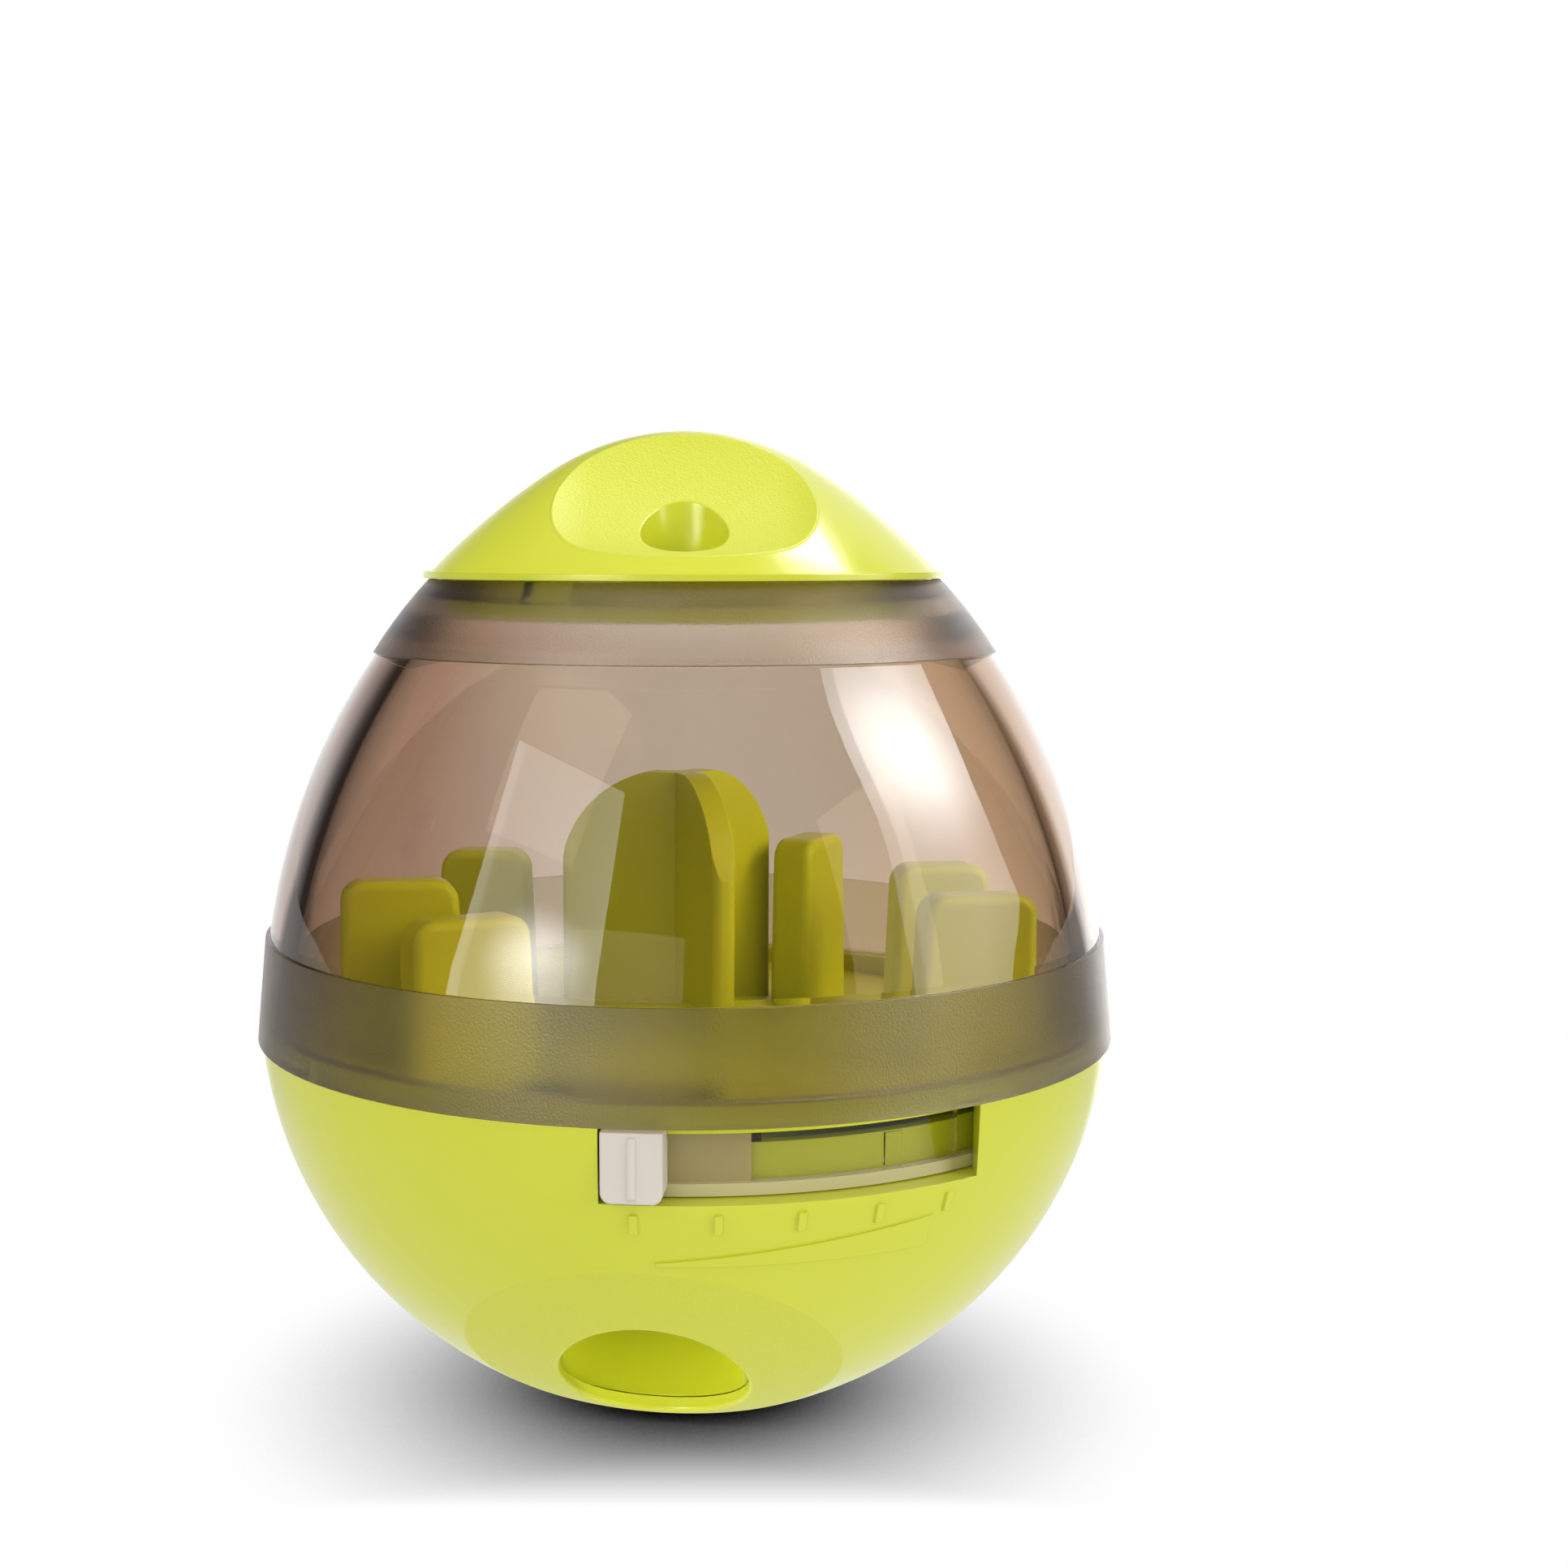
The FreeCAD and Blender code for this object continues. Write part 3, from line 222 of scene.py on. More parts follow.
class Shader:
    """A material or world with short calls for its nodes."""

    def __init__(self, owner):
        owner.use_nodes = True
        self.owner = owner
        self.tree = owner.node_tree
        self.tree.nodes.clear()

    def node(self, kind, inputs=None, **settings):
        made = self.tree.nodes.new(kind)
        for name, value in settings.items():
            setattr(made, name, value)
        for name, value in (inputs or {}).items():
            self.set(made.inputs[name], value)
        return made

    def set(self, socket, value):
        if isinstance(value, bpy.types.NodeSocket):
            self.tree.links.new(value, socket)
        else:
            socket.default_value = value

    def output(self, surface, **others):
        """Makes a shader node the surface, with other outputs such as Volume by name."""
        self.node("ShaderNodeOutputMaterial", {"Surface": surface.outputs[0], **others})
        return self.owner

    def math(self, operation, a, b=0.0, clamp=False):
        return self.node("ShaderNodeMath", {0: a, 1: b}, operation=operation, use_clamp=clamp).outputs[0]

    def vector(self, operation, a, b=(0, 0, 0)):
        made = self.node("ShaderNodeVectorMath", {0: a, 1: b}, operation=operation)
        return made.outputs["Value" if operation in ("DOT_PRODUCT", "LENGTH") else "Vector"]

    def scaled(self, vector, factor):
        made = self.node("ShaderNodeVectorMath", {0: vector, "Scale": factor}, operation="SCALE")
        return made.outputs["Vector"]

    def split(self, vector):
        return tuple(self.node("ShaderNodeSeparateXYZ", {0: vector}).outputs)

    def length(self, a, b):
        return self.math("SQRT", self.math("ADD", self.math("MULTIPLY", a, a), self.math("MULTIPLY", b, b)))

    def ramp(self, value, low, high, to_low=0.0, to_high=1.0, **settings):
        inputs = {"Value": value, "From Min": low, "From Max": high, "To Min": to_low, "To Max": to_high}
        return self.node("ShaderNodeMapRange", inputs, clamp=True, **settings).outputs["Result"]

    def mix(self, share, a, b):
        made = self.node("ShaderNodeMix", {"Factor": share}, data_type="RGBA")
        self.set(made.inputs[6], a)
        self.set(made.inputs[7], b)
        return made.outputs[2]

    def mix_value(self, share, low, high):
        return self.math("ADD", low, self.math("MULTIPLY", share, self.math("SUBTRACT", high, low)))

    def noise(self, place, scale, detail=2.0, roughness=0.5):
        inputs = {"Vector": place, "Scale": scale, "Detail": detail, "Roughness": roughness}
        return self.node("ShaderNodeTexNoise", inputs).outputs["Fac"]

    def place_mm(self):
        return self.scaled(self.node("ShaderNodeTexCoord").outputs["Object"], 1 / MM)


def material(name):
    return Shader(bpy.data.materials.new(name))


def colour(red, green, blue):
    return (red, green, blue, 1.0)


WHITE = colour(1, 1, 1)


def rounded_normal(sh, radius_mm, bump_height, strength):
    """A normal that rounds sharp edges, with a fine bump on it."""
    edge = sh.node("ShaderNodeBevel", {"Radius": radius_mm * MM}, samples=6).outputs["Normal"]
    inputs = {"Height": bump_height, "Strength": strength, "Distance": 0.2 * MM, "Normal": edge}
    return sh.node("ShaderNodeBump", inputs).outputs["Normal"]


def scoop_mask(sh, place):
    """1 on the finger scoops of the cap, 0 on its polished skin and in the wells."""
    x, y, z = sh.split(place)
    x = sh.math("ABSOLUTE", x)
    side = sh.math("ABSOLUTE", y)
    distance = sh.length(sh.math("SUBTRACT", side, SCOOP_Y_MM), sh.math("SUBTRACT", z, SCOOP_Z_MM))
    # The scoop's radius falls off along X, gently as far as SCOOP_MID_MM and then round its end
    mid_fall = sh.math("MULTIPLY", sh.math("MULTIPLY", x, x), SCOOP_MID_SAG_MM / SCOOP_MID_MM ** 2)
    turn = 2 * math.atan(SCOOP_MID_SAG_MM / SCOOP_MID_MM)
    centre_x = SCOOP_MID_MM - SCOOP_END_R_MM * math.sin(turn)
    centre_r = SCOOP_R_MM - SCOOP_MID_SAG_MM - SCOOP_END_R_MM * math.cos(turn)
    reach = sh.math("DIVIDE", sh.math("SUBTRACT", x, centre_x), SCOOP_END_R_MM)
    rise = sh.math("SQRT", sh.math("SUBTRACT", 1.0, sh.math("MULTIPLY", reach, reach), clamp=True))
    end_r = sh.math("ADD", centre_r, sh.math("MULTIPLY", rise, SCOOP_END_R_MM))
    mid_r = sh.math("SUBTRACT", SCOOP_R_MM, mid_fall)
    on_end = sh.math("GREATER_THAN", x, SCOOP_MID_MM)
    depth = sh.math("SUBTRACT", distance, sh.mix_value(on_end, mid_r, end_r))
    on_scoop = sh.ramp(depth, *SCOOP_EDGE_MM, 1.0, 0.0)
    across = sh.math("DIVIDE", x, WELL_HALF_X_MM)
    along = sh.math("DIVIDE", sh.math("SUBTRACT", side, WELL_Y_MM), WELL_HALF_Y_MM)
    return sh.math("MULTIPLY", on_scoop, sh.ramp(sh.length(across, along), *HOLE_EDGE))


def ball_axis(bearing, elevation):
    """Unit vector from the ball's centre at a bearing from the front and an elevation."""
    b, e = math.radians(bearing), math.radians(elevation)
    return Vector((math.sin(b) * math.cos(e), -math.cos(b) * math.cos(e), math.sin(e)))


def dish_mask(sh, place):
    """1 on the shallow dish round the mouth."""
    out = sh.vector("SUBTRACT", place, (0, 0, BALL_Z_MM))
    dish = ball_axis(MOUTH_BEARING, DISH_ELEVATION)
    along = sh.vector("DOT_PRODUCT", out, dish)
    away = sh.vector("LENGTH", sh.vector("SUBTRACT", out, sh.scaled(dish, along)))
    inside = sh.ramp(away, DISH_R_MM - DISH_EDGE_MM, DISH_R_MM, 1.0, 0.0)
    on_dish = sh.math("MULTIPLY", inside, sh.ramp(along, *DISH_LEAST_OUT_MM))
    mouth = ball_axis(MOUTH_BEARING, MOUTH_ELEVATION)
    side = mouth.cross(Vector((0, 0, 1))).normalized()
    across = sh.math("DIVIDE", sh.vector("DOT_PRODUCT", out, side), MOUTH_HALF_W_MM)
    up = sh.math("DIVIDE", sh.vector("DOT_PRODUCT", out, side.cross(mouth)), MOUTH_HALF_H_MM)
    return sh.math("MULTIPLY", on_dish, sh.ramp(sh.length(across, up), *HOLE_EDGE))


def lime_plastic(name, mask, tint, roughness, sub=0.12):
    """Moulded lime plastic, polished, with a fine spark-eroded grain where mask says."""
    sh = material(name)
    place = sh.place_mm()
    grained = mask(sh, place) if mask else 0.0
    cloud = sh.noise(place, scale=0.035, detail=3.0)
    grain = sh.noise(place, scale=3.2, detail=3.0, roughness=0.6)
    orange_peel = sh.noise(place, scale=0.35, detail=1.0)
    smear = sh.noise(place, scale=0.2, detail=4.0)
    height = sh.math("MULTIPLY", sh.math("MULTIPLY", grain, grained), GRAIN_HEIGHT)
    height = sh.math("ADD", height, sh.math("MULTIPLY", orange_peel, PEEL_HEIGHT))
    rough = sh.math("ADD", roughness, sh.math("MULTIPLY", grained, GRAIN_ROUGHNESS))
    inputs = {
        "Base Color": sh.mix(cloud, colour(*tint[0]), colour(*tint[1])),
        "Roughness": sh.math("ADD", rough, sh.ramp(smear, 0.3, 0.8, -0.02, 0.05)),
        "IOR": 1.5,
        "Subsurface Weight": sub,
        "Subsurface Radius": (1.0, 1.0, 0.25),
        "Subsurface Scale": 0.0025,
        "Normal": rounded_normal(sh, 0.15, height, 0.35),
    }
    return sh.output(sh.node("ShaderNodeBsdfPrincipled", inputs))


def clear_plastic(name, absorption, skin, milk=None):
    """Solid clear plastic: light dims with its thickness, and shadow rays pass through it.

    skin gives its roughness, bump height and tint; milk gives the share of its skin that is frosted to a
    plain colour, and that colour.
    """
    sh = material(name)
    place = sh.place_mm()
    rough, bump, tint = skin(sh, place)
    inputs = {
        "Base Color": tint,
        "Roughness": rough,
        "IOR": 1.5,
        "Transmission Weight": 1.0,
        "Normal": rounded_normal(sh, 0.12, bump, 0.5),
    }
    glass = sh.node("ShaderNodeBsdfPrincipled", inputs)
    passing = sh.node("ShaderNodeBsdfTransparent", {"Color": colour(0.95, 0.95, 0.95)})
    rays = sh.node("ShaderNodeLightPath")
    thin = sh.math("MAXIMUM", rays.outputs["Is Shadow Ray"], rays.outputs["Is Diffuse Ray"])
    surface = sh.node("ShaderNodeMixShader", {0: thin, 1: glass.outputs[0], 2: passing.outputs[0]})
    if milk:
        share, milky = milk(sh, place)
        frosted = sh.node("ShaderNodeBsdfPrincipled", {"Base Color": milky, "Roughness": 0.45})
        surface = sh.node("ShaderNodeMixShader", {0: share, 1: surface.outputs[0], 2: frosted.outputs[0]})
    # A volume absorbs its density times what its colour lacks of white
    density = max(absorption) * 1.1
    remaining = colour(*[1 - a / density for a in absorption])
    volume = sh.node("ShaderNodeVolumeAbsorption", {"Color": remaining, "Density": density})
    return sh.output(surface, Volume=volume.outputs[0])


def band_masks(sh, place):
    """Masks of the dome's frosted bands: the lower one's outside and joint, and the upper one's outside."""
    x, y, z = sh.split(place)
    r = sh.length(x, y)
    low = sh.ramp(z, BAND_TOP_Z_MM - BAND_EDGE_MM, BAND_TOP_Z_MM + BAND_EDGE_MM, 1.0, 0.0)
    joint = sh.ramp(z, SOCKET_TOP_Z_MM + JOINT_EDGE_MM[0], SOCKET_TOP_Z_MM + JOINT_EDGE_MM[1], 1.0, 0.0)
    outside = sh.math("GREATER_THAN", r, BAND_TOP_R_MM - BAND_SKIN_MM)
    low = sh.math("MULTIPLY", low, sh.math("MAXIMUM", joint, outside))
    high = sh.ramp(z, WINDOW_TOP_Z_MM - BAND_EDGE_MM, WINDOW_TOP_Z_MM + BAND_EDGE_MM)
    skin_r = (WINDOW_TOP_R_MM - SKIN_DEPTH_MM, COLLAR_TOP_R_MM - SKIN_DEPTH_MM)
    skin = sh.ramp(z, WINDOW_TOP_Z_MM, SEAM_Z_MM, *skin_r)
    return low, sh.math("MULTIPLY", high, sh.math("GREATER_THAN", r, skin))


def smoke_dome():
    """The dome: one smoke-brown moulding with two frosted bands."""
    def skin(sh, place):
        low, high = band_masks(sh, place)
        frosted = sh.math("ADD", low, high)
        cloud = sh.noise(place, scale=0.6)
        rough = sh.mix_value(frosted, POLISHED_ROUGHNESS, sh.ramp(cloud, 0.2, 0.8, *FROSTED_ROUGHNESS))
        bump = sh.math("MULTIPLY", sh.noise(place, scale=4.0), sh.math("MULTIPLY", frosted, FROST_HEIGHT))
        # The lower band's tint is painted shade, for the shade of what lies behind the band
        return rough, bump, sh.mix(low, WHITE, colour(*BAND_PAINTED_SHADE))

    return clear_plastic("smoke_plastic", SMOKE_ABSORPTION, skin)


def clear_ring():
    """The adjuster ring: clear, with a frosted stretch beside the knob and a frosted lip below."""
    def milk(sh, place):
        x, y, z = sh.split(place)
        bearing = sh.math("ARCTAN2", x, sh.math("MULTIPLY", y, -1.0))
        edge = (math.radians(RING_FROST_END - RING_FROST_EDGE), math.radians(RING_FROST_END))
        stretch = sh.ramp(bearing, *edge, 1.0, 0.0)
        lip = sh.ramp(z, RING_LIP_TOP_Z_MM, RING_LIP_TOP_Z_MM + RING_LIP_EDGE_MM, 1.0, 0.0)
        tint = sh.mix(lip, colour(0.40, 0.33, 0.13), colour(0.64, 0.58, 0.31))
        return sh.math("MAXIMUM", sh.math("MULTIPLY", stretch, 0.75), sh.math("MULTIPLY", lip, 0.8)), tint

    return clear_plastic("clear_ring", CLEAR_ABSORPTION, lambda sh, place: (0.04, 0.0, WHITE), milk)


def white_plastic():
    """The knob's milky white plastic."""
    sh = material("white_knob")
    place = sh.place_mm()
    cloud = sh.noise(place, scale=0.4)
    grain = sh.noise(place, scale=2.5)
    inputs = {
        "Base Color": sh.mix(cloud, colour(0.64, 0.58, 0.51), colour(0.69, 0.63, 0.56)),
        "Roughness": sh.ramp(grain, 0.3, 0.7, 0.36, 0.46),
        "IOR": 1.47,
        "Subsurface Weight": 0.25,
        "Subsurface Radius": (1.0, 0.9, 0.8),
        "Subsurface Scale": 0.001,
        "Normal": rounded_normal(sh, 0.35, grain, 0.12),
    }
    return sh.output(sh.node("ShaderNodeBsdfPrincipled", inputs))


def metal(name, tint, roughness, grain_scale, grain):
    """Bare metal with spots that are darker, and a grain of the same pattern."""
    sh = material(name)
    spots = sh.noise(sh.place_mm(), scale=grain_scale, detail=4.0)
    inputs = {
        "Base Color": sh.mix(spots, colour(*[c * 0.8 for c in tint]), colour(*tint)),
        "Metallic": 1.0,
        "Roughness": sh.ramp(spots, 0.3, 0.7, roughness - 0.06, roughness + 0.08),
        "Normal": rounded_normal(sh, 0.15, spots, grain),
    }
    return sh.output(sh.node("ShaderNodeBsdfPrincipled", inputs))


def dress(frame):
    """Gives every CAD node its material, by its name or else by the record's slot."""
    shell_tint = ((0.610, 0.640, 0.030), (0.640, 0.670, 0.042))
    inner_tint = ((0.500, 0.530, 0.012), (0.540, 0.570, 0.020))
    finishes = {
        "base_shell": lime_plastic("lime_base", dish_mask, shell_tint, 0.20),
        "top_cap": lime_plastic("lime_cap", scoop_mask, shell_tint, 0.20),
        "lime_inner": lime_plastic("lime_inner", None, inner_tint, 0.30, sub=0.25),
        "smoke_dome": smoke_dome(),
        "clear_smoke": clear_ring(),
        "white_knob": white_plastic(),
        "weight_iron": metal("cast_iron", (0.20, 0.20, 0.21), 0.55, 0.9, 0.5),
        "screw_steel": metal("zinc_steel", (0.62, 0.62, 0.63), 0.30, 0.5, 0.1),
    }
    slots = {s["node"]: s["material_slot"] for s in frame["record"]["subparts"]}
    for name, obj in frame["nodes"].items():
        finish = finishes.get(name) or finishes[slots[name]]
        for place in obj.material_slots:
            place.material = finish


def window_arc():
    """Centre and radius of the arc that the window's outside follows, as (radius, height) in millimetres."""
    low = Vector((WINDOW_LOW_R_MM, BAND_TOP_Z_MM))
    high = Vector((WINDOW_TOP_R_MM, WINDOW_TOP_Z_MM))
    half = (high - low).length / 2
    radius = (half ** 2 + WINDOW_BULGE_MM ** 2) / (2 * WINDOW_BULGE_MM)
    across = Vector((high.y - low.y, low.x - high.x)).normalized()
    return (low + high) / 2 - across * (radius - WINDOW_BULGE_MM), radius


def window_radius(z):
    """Outer radius of the window's bulged wall at a height, in millimetres."""
    centre, radius = window_arc()
    return centre.x + math.sqrt(radius ** 2 - (z - centre.y) ** 2)


def window_normal(point):
    """Outward normal of the window's bulged wall at a point of it."""
    centre, _ = window_arc()
    r = math.hypot(point.x, point.y)
    flat = (Vector((r, point.z)) - centre * MM).normalized()
    return Vector((point.x / r * flat.x, point.y / r * flat.x, flat.y))


def thick_wall_radius(z, r):
    """Inner radius of the thicker wall at a height where the CAD's wall has the inner radius r."""
    if z > WINDOW_TOP_Z_MM + LEVEL_SLACK_MM:
        rest = 1 - (z - WINDOW_TOP_Z_MM) / WALL_BLEND_H_MM
        return r - (WALL_TOP_MM - DOME_WALL_MM) * rest
    share = (z - BAND_TOP_Z_MM) / WINDOW_H_MM
    return window_radius(z) - (WALL_LOW_MM + (WALL_TOP_MM - WALL_LOW_MM) * share)


def thick_dome(dome):
    """The dome with the window's wall made thicker on the inside, as its dark side lines show it."""
    shell = dome.copy()
    shell.data = dome.data.copy()
    shell.name = "dome_shell"
    bpy.context.scene.collection.objects.link(shell)
    mesh = shell.data
    for point in mesh.vertices:
        z = point.co.z / MM
        r = math.hypot(point.co.x, point.co.y) / MM
        in_reach = BAND_TOP_Z_MM - LEVEL_SLACK_MM < z < WINDOW_TOP_Z_MM + WALL_BLEND_H_MM
        if in_reach and r <= window_radius(z) - SKIN_DEPTH_MM:
            scale = thick_wall_radius(z, r) / r
            point.co.x *= scale
            point.co.y *= scale
    if "custom_normal" in mesh.attributes:
        mesh.attributes.remove(mesh.attributes["custom_normal"])
    mesh.shade_smooth()
    mesh.set_sharp_from_angle(angle=math.radians(SHARP_ANGLE))
    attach(shell, "dome")
    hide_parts("dome")
    return shell


def camera_pose():
    """Where the camera stands and how it is turned."""
    return Vector((0, -CAMERA_DISTANCE, CAMERA_HEIGHT)), Euler((math.radians(90 - CAMERA_PITCH), 0, 0))


def make_camera():
    data = bpy.data.cameras.new("camera")
    data.sensor_width = SENSOR_MM
    data.lens = FOCAL_PX / FRAME_PX * SENSOR_MM
    data.shift_x = (FRAME_PX / 2 - AXIS_PX[0]) / FRAME_PX
    data.shift_y = (AXIS_PX[1] - FRAME_PX / 2) / FRAME_PX
    data.clip_start = 0.01
    data.clip_end = 100
    camera = bpy.data.objects.new("camera", data)
    camera.location, camera.rotation_euler = camera_pose()
    bpy.context.scene.collection.objects.link(camera)
    bpy.context.scene.camera = camera


def photo_ray(pixel):
    """Where the camera is and which way it looks through a pixel of the photograph."""
    place, turn = camera_pose()
    x = (pixel[0] - AXIS_PX[0]) / FOCAL_PX
    y = (AXIS_PX[1] - pixel[1]) / FOCAL_PX
    return place, (turn.to_matrix() @ Vector((x, y, -1))).normalized()


def card_light(name, glow, spot, spot_glow, strip, right_share):
    """Light of a studio card, from glow[0] at its top to glow[1] at its bottom.

    It has one brighter spot (across, down, half width, half height), a strip (width, share of the light)
    along its left edge, and fades to right_share at its right edge.
    """
    sh = material(name)
    u, v, _ = sh.split(sh.node("ShaderNodeUVMap", uv_map="card").outputs[0])
    across = sh.math("DIVIDE", sh.math("SUBTRACT", u, spot[0]), spot[2])
    down = sh.math("DIVIDE", sh.math("SUBTRACT", v, spot[1]), spot[3])
    bump = sh.ramp(sh.length(across, down), 1.0, 0.0, interpolation_type="SMOOTHSTEP")
    strength = sh.mix_value(bump, sh.ramp(v, 0.0, 1.0, *glow), spot_glow)
    strength = sh.math("MULTIPLY", strength, sh.ramp(u, strip[0], strip[0] + STRIP_EDGE, strip[1], 1.0))
    strength = sh.math("MULTIPLY", strength, sh.ramp(u, FADE_FROM, 1.0, 1.0, right_share))
    return sh.output(sh.node("ShaderNodeEmission", {"Strength": strength}))


def between(rows, share):
    """The outline's row at a share of the way down it."""
    at = share * (len(rows) - 1)
    k = min(int(at), len(rows) - 2)
    return [a + (b - a) * (at - k) for a, b in zip(rows[k], rows[k + 1])]


def reflected_card(name, rows, finish, mirror):
    """A studio card placed so that the dome mirrors it inside an outline of the photograph."""
    points = []
    for i in range(CARD_STEPS + 1):
        left_x, right_x, left_y, right_y = between(rows, i / CARD_STEPS)
        for j in range(CARD_STEPS + 1):
            u = j / CARD_STEPS
            start, way = photo_ray((left_x + (right_x - left_x) * u, left_y + (right_y - left_y) * u))
            found, hit, _, _ = mirror.ray_cast(start, way)
            if not found:
                raise ValueError(name + " has a pixel off the dome")
            points.append(hit + way.reflect(window_normal(hit)) * CARD_DISTANCE)
    per_row = CARD_STEPS + 1
    corners = [i * per_row + j for i in range(CARD_STEPS) for j in range(CARD_STEPS)]
    mesh = bpy.data.meshes.new(name)
    mesh.from_pydata(points, [], [(a, a + 1, a + per_row + 1, a + per_row) for a in corners])
    layer = mesh.uv_layers.new(name="card")
    for loop in mesh.loops:
        row, column = divmod(loop.vertex_index, per_row)
        layer.data[loop.index].uv = (column / CARD_STEPS, row / CARD_STEPS)
    mesh.materials.append(finish)
    card = bpy.data.objects.new(name, mesh)
    bpy.context.scene.collection.objects.link(card)
    card.visible_camera = False
    card.visible_diffuse = False
    card.visible_transmission = False
    card.visible_shadow = False


def make_cards(dome):
    """The two studio cards whose reflections are the bright shapes in the window."""
    right = card_light("box_right", (6.0, 3.6), spot=(0.50, 0.34, 0.85, 0.40), spot_glow=18.0,
                       strip=(0.1, 0.6), right_share=0.6)
    left = card_light("box_left", (2.3, 3.3), spot=(0.55, 0.82, 0.45, 0.26), spot_glow=16.0,
                      strip=(0.06, 1.5), right_share=1.4)
    reflected_card("card_right", CARD_RIGHT_PX, right, dome)
    reflected_card("card_left", CARD_LEFT_PX, left, dome)


def area_light(name, place, target, size, energy):
    data = bpy.data.lights.new(name, "AREA")
    data.shape = "RECTANGLE"
    data.size, data.size_y = size
    data.energy = energy
    light = bpy.data.objects.new(name, data)
    light.location = place
    light.rotation_euler = (Vector(target) - Vector(place)).to_track_quat("-Z", "Y").to_euler()
    light.visible_glossy = False
    light.visible_camera = False
    bpy.context.scene.collection.objects.link(light)
    return light


def light_only(light, receivers):
    """Lets a lamp light these objects alone."""
    group = bpy.data.collections.new(light.name + "_receivers")
    for receiver in receivers:
        group.objects.link(receiver)
    light.light_linking.receiver_collection = group


def make_lamps(nodes):
    """Four soft boxes, a glow in the mouth, two lamps for the maze alone and a gleam on the cap."""
    lamps = {name: area_light(name, *values) for name, values in LAMPS.items()}
    # Light reaches the maze through the clear walls, which these two stand for
    maze = [nodes["maze_disc"], nodes["maze_screws"]]
    light_only(lamps["inner_right"], maze)
    light_only(lamps["inner_front"], maze)
    gleam = lamps["cap_gleam"]
    gleam.visible_glossy = True
    gleam.visible_diffuse = False
    light_only(gleam, [nodes["top_cap"]])


def white_wall(sh, bearing, ends):
    """1 towards the white wall behind the part, falling to 0 past its two ends."""
    left, right = ends
    from_left = sh.ramp(bearing, math.radians(left[0]), math.radians(left[1]))
    from_right = sh.ramp(bearing, math.radians(right[0]), math.radians(right[1]), 1.0, 0.0)
    return sh.math("MINIMUM", from_left, from_right)


def wall_tint(sh, bearing, rays):
    """Colour of the studio through the dome: rosy and dim on the left, warm and bright on the right."""
    left = sh.ramp(bearing, math.radians(ROSY_SPAN[0]), math.radians(ROSY_SPAN[1]), 1.0, 0.0)
    right = sh.ramp(bearing, math.radians(WARM_SPAN[0]), math.radians(WARM_SPAN[1]))
    through = rays.outputs["Is Transmission Ray"]
    tint = sh.mix(sh.math("MULTIPLY", left, through), WHITE, colour(*ROSY_TINT))
    return sh.mix(sh.math("MULTIPLY", right, through), tint, colour(*WARM_TINT))


def from_left_to_right(sh, x, values):
    return sh.ramp(x, -SIDE_REACH, SIDE_REACH, *values)


def make_world():
    """A dark studio with a white wall behind and a soft ceiling; what lights matt faces is even."""
    world = bpy.data.worlds.new("studio")
    bpy.context.scene.world = world
    sh = Shader(world)
    x, y, z = sh.split(sh.node("ShaderNodeTexCoord").outputs["Generated"])
    bearing = sh.math("ARCTAN2", x, y)
    rays = sh.node("ShaderNodeLightPath")
    bent = sh.math("MULTIPLY", white_wall(sh, bearing, BENT_ENDS), BENT_GLOW)
    high_share = from_left_to_right(sh, x, MIRRORED_HIGH_SHARE)
    glow = from_left_to_right(sh, x, MIRRORED_GLOW)
    glow = sh.math("MULTIPLY", glow, sh.mix_value(sh.ramp(z, *MIRRORED_HIGH_Z), 1.0, high_share))
    mirrored = sh.math("MULTIPLY", white_wall(sh, bearing, MIRRORED_ENDS), glow)
    wall = sh.mix_value(rays.outputs["Is Transmission Ray"], mirrored, bent)
    ceiling = sh.math("MULTIPLY", sh.ramp(z, *CEILING_Z), CEILING_GLOW)
    studio = sh.math("MAXIMUM", sh.math("MAXIMUM", wall, ceiling), STUDIO_DARK)
    on_matt = sh.ramp(z, *MATT_Z, *MATT_GLOW)
    strength = sh.mix_value(rays.outputs["Is Diffuse Ray"], studio, on_matt)
    strength = sh.math("MAXIMUM", strength, rays.outputs["Is Camera Ray"])
    light = sh.node("ShaderNodeBackground", {"Color": wall_tint(sh, bearing, rays), "Strength": strength})
    sh.node("ShaderNodeOutputWorld", {"Surface": light.outputs[0]})


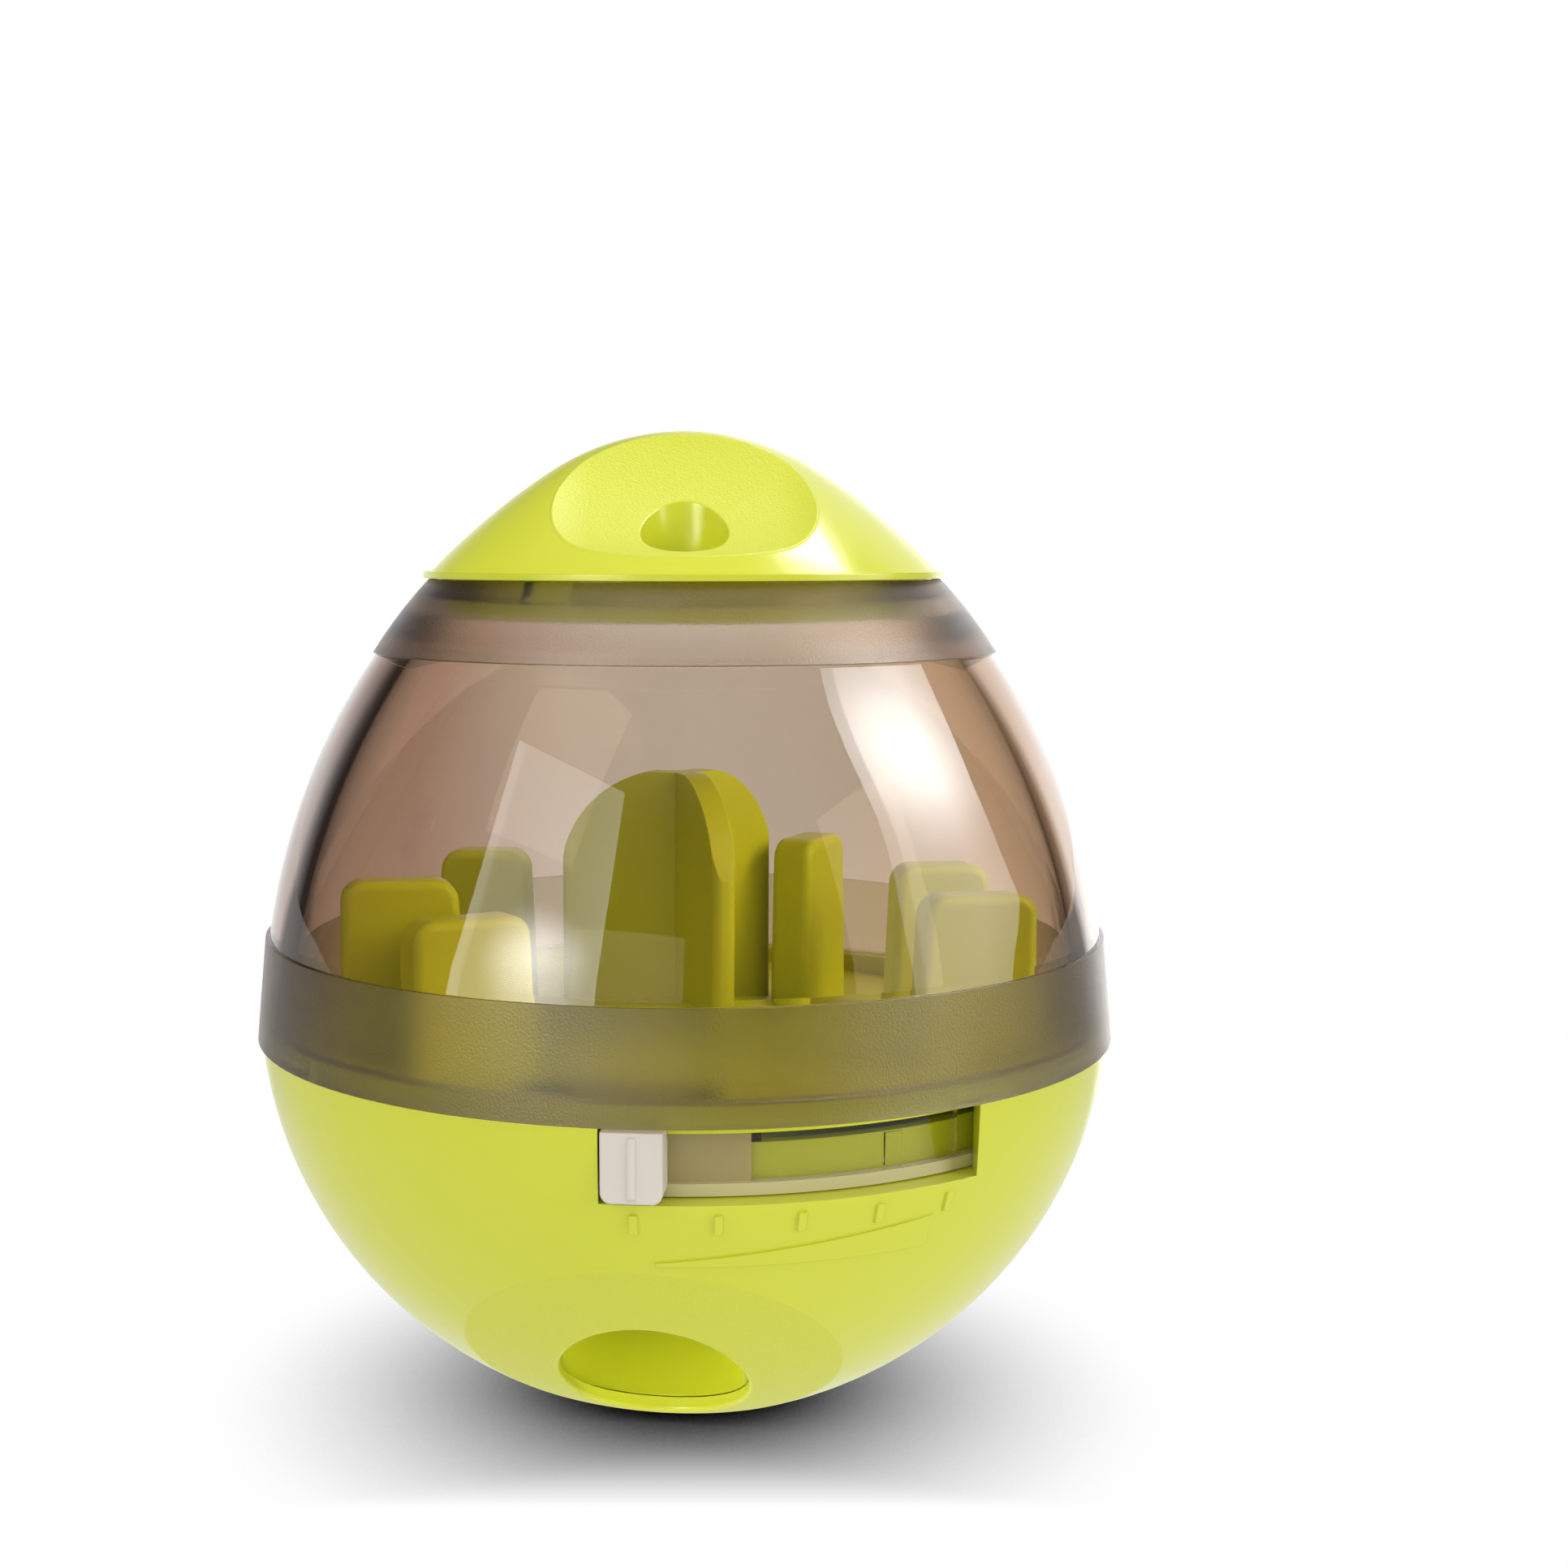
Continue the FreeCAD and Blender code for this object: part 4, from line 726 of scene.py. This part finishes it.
def floor_finish():
    """White that glows evenly and is shaded by what stands over it; the dome shows its far parts darker."""
    sh = material("white_floor")
    x, y, _ = sh.split(sh.node("ShaderNodeTexCoord").outputs["Object"])
    bearing = sh.math("ARCTAN2", x, y)
    rays = sh.node("ShaderNodeLightPath")
    open_sky = sh.node("ShaderNodeAmbientOcclusion", {"Distance": SHADE_REACH}, samples=24).outputs["AO"]
    shade = sh.ramp(open_sky, *SHADE_SKY)
    shade = sh.math("MAXIMUM", shade, sh.ramp(y, *SHADE_FRONT_Y, 1.0, 0.0))
    near = sh.ramp(sh.length(x, y), *NEAR_FLOOR, 1.0, 0.0)
    seen = sh.math("MAXIMUM", white_wall(sh, bearing, SEEN_ENDS), near)
    seen = sh.math("MAXIMUM", seen, FLOOR_FAR_DARK)
    beside = from_left_to_right(sh, x, FLOOR_GLOW)
    mirrored = sh.math("MULTIPLY", beside, white_wall(sh, bearing, MIRRORED_ENDS))
    mirrored = sh.mix_value(near, sh.math("MAXIMUM", mirrored, FLOOR_MIRRORED_LEAST), FLOOR_MIRRORED_NEAR)
    in_dome = sh.mix_value(rays.outputs["Is Transmission Ray"], mirrored, seen)
    strength = sh.mix_value(rays.outputs["Is Camera Ray"], in_dome, shade)
    glow = sh.node("ShaderNodeEmission", {"Color": wall_tint(sh, bearing, rays), "Strength": strength})
    return sh.output(glow)


def make_floor():
    mesh = bpy.data.meshes.new("floor")
    corners = [(-FLOOR_REACH, -FLOOR_REACH, 0), (FLOOR_REACH, -FLOOR_REACH, 0),
               (FLOOR_REACH, FLOOR_REACH, 0), (-FLOOR_REACH, FLOOR_REACH, 0)]
    mesh.from_pydata(corners, [], [(0, 1, 2, 3)])
    mesh.materials.append(floor_finish())
    floor = bpy.data.objects.new("floor", mesh)
    bpy.context.scene.collection.objects.link(floor)


def main():
    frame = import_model()
    bpy.context.scene.view_settings.view_transform = "Standard"
    make_camera()
    make_world()
    make_floor()
    dress(frame)
    dome = thick_dome(frame["nodes"]["dome"])
    bpy.context.view_layer.update()
    make_cards(dome)
    make_lamps(frame["nodes"])


main()
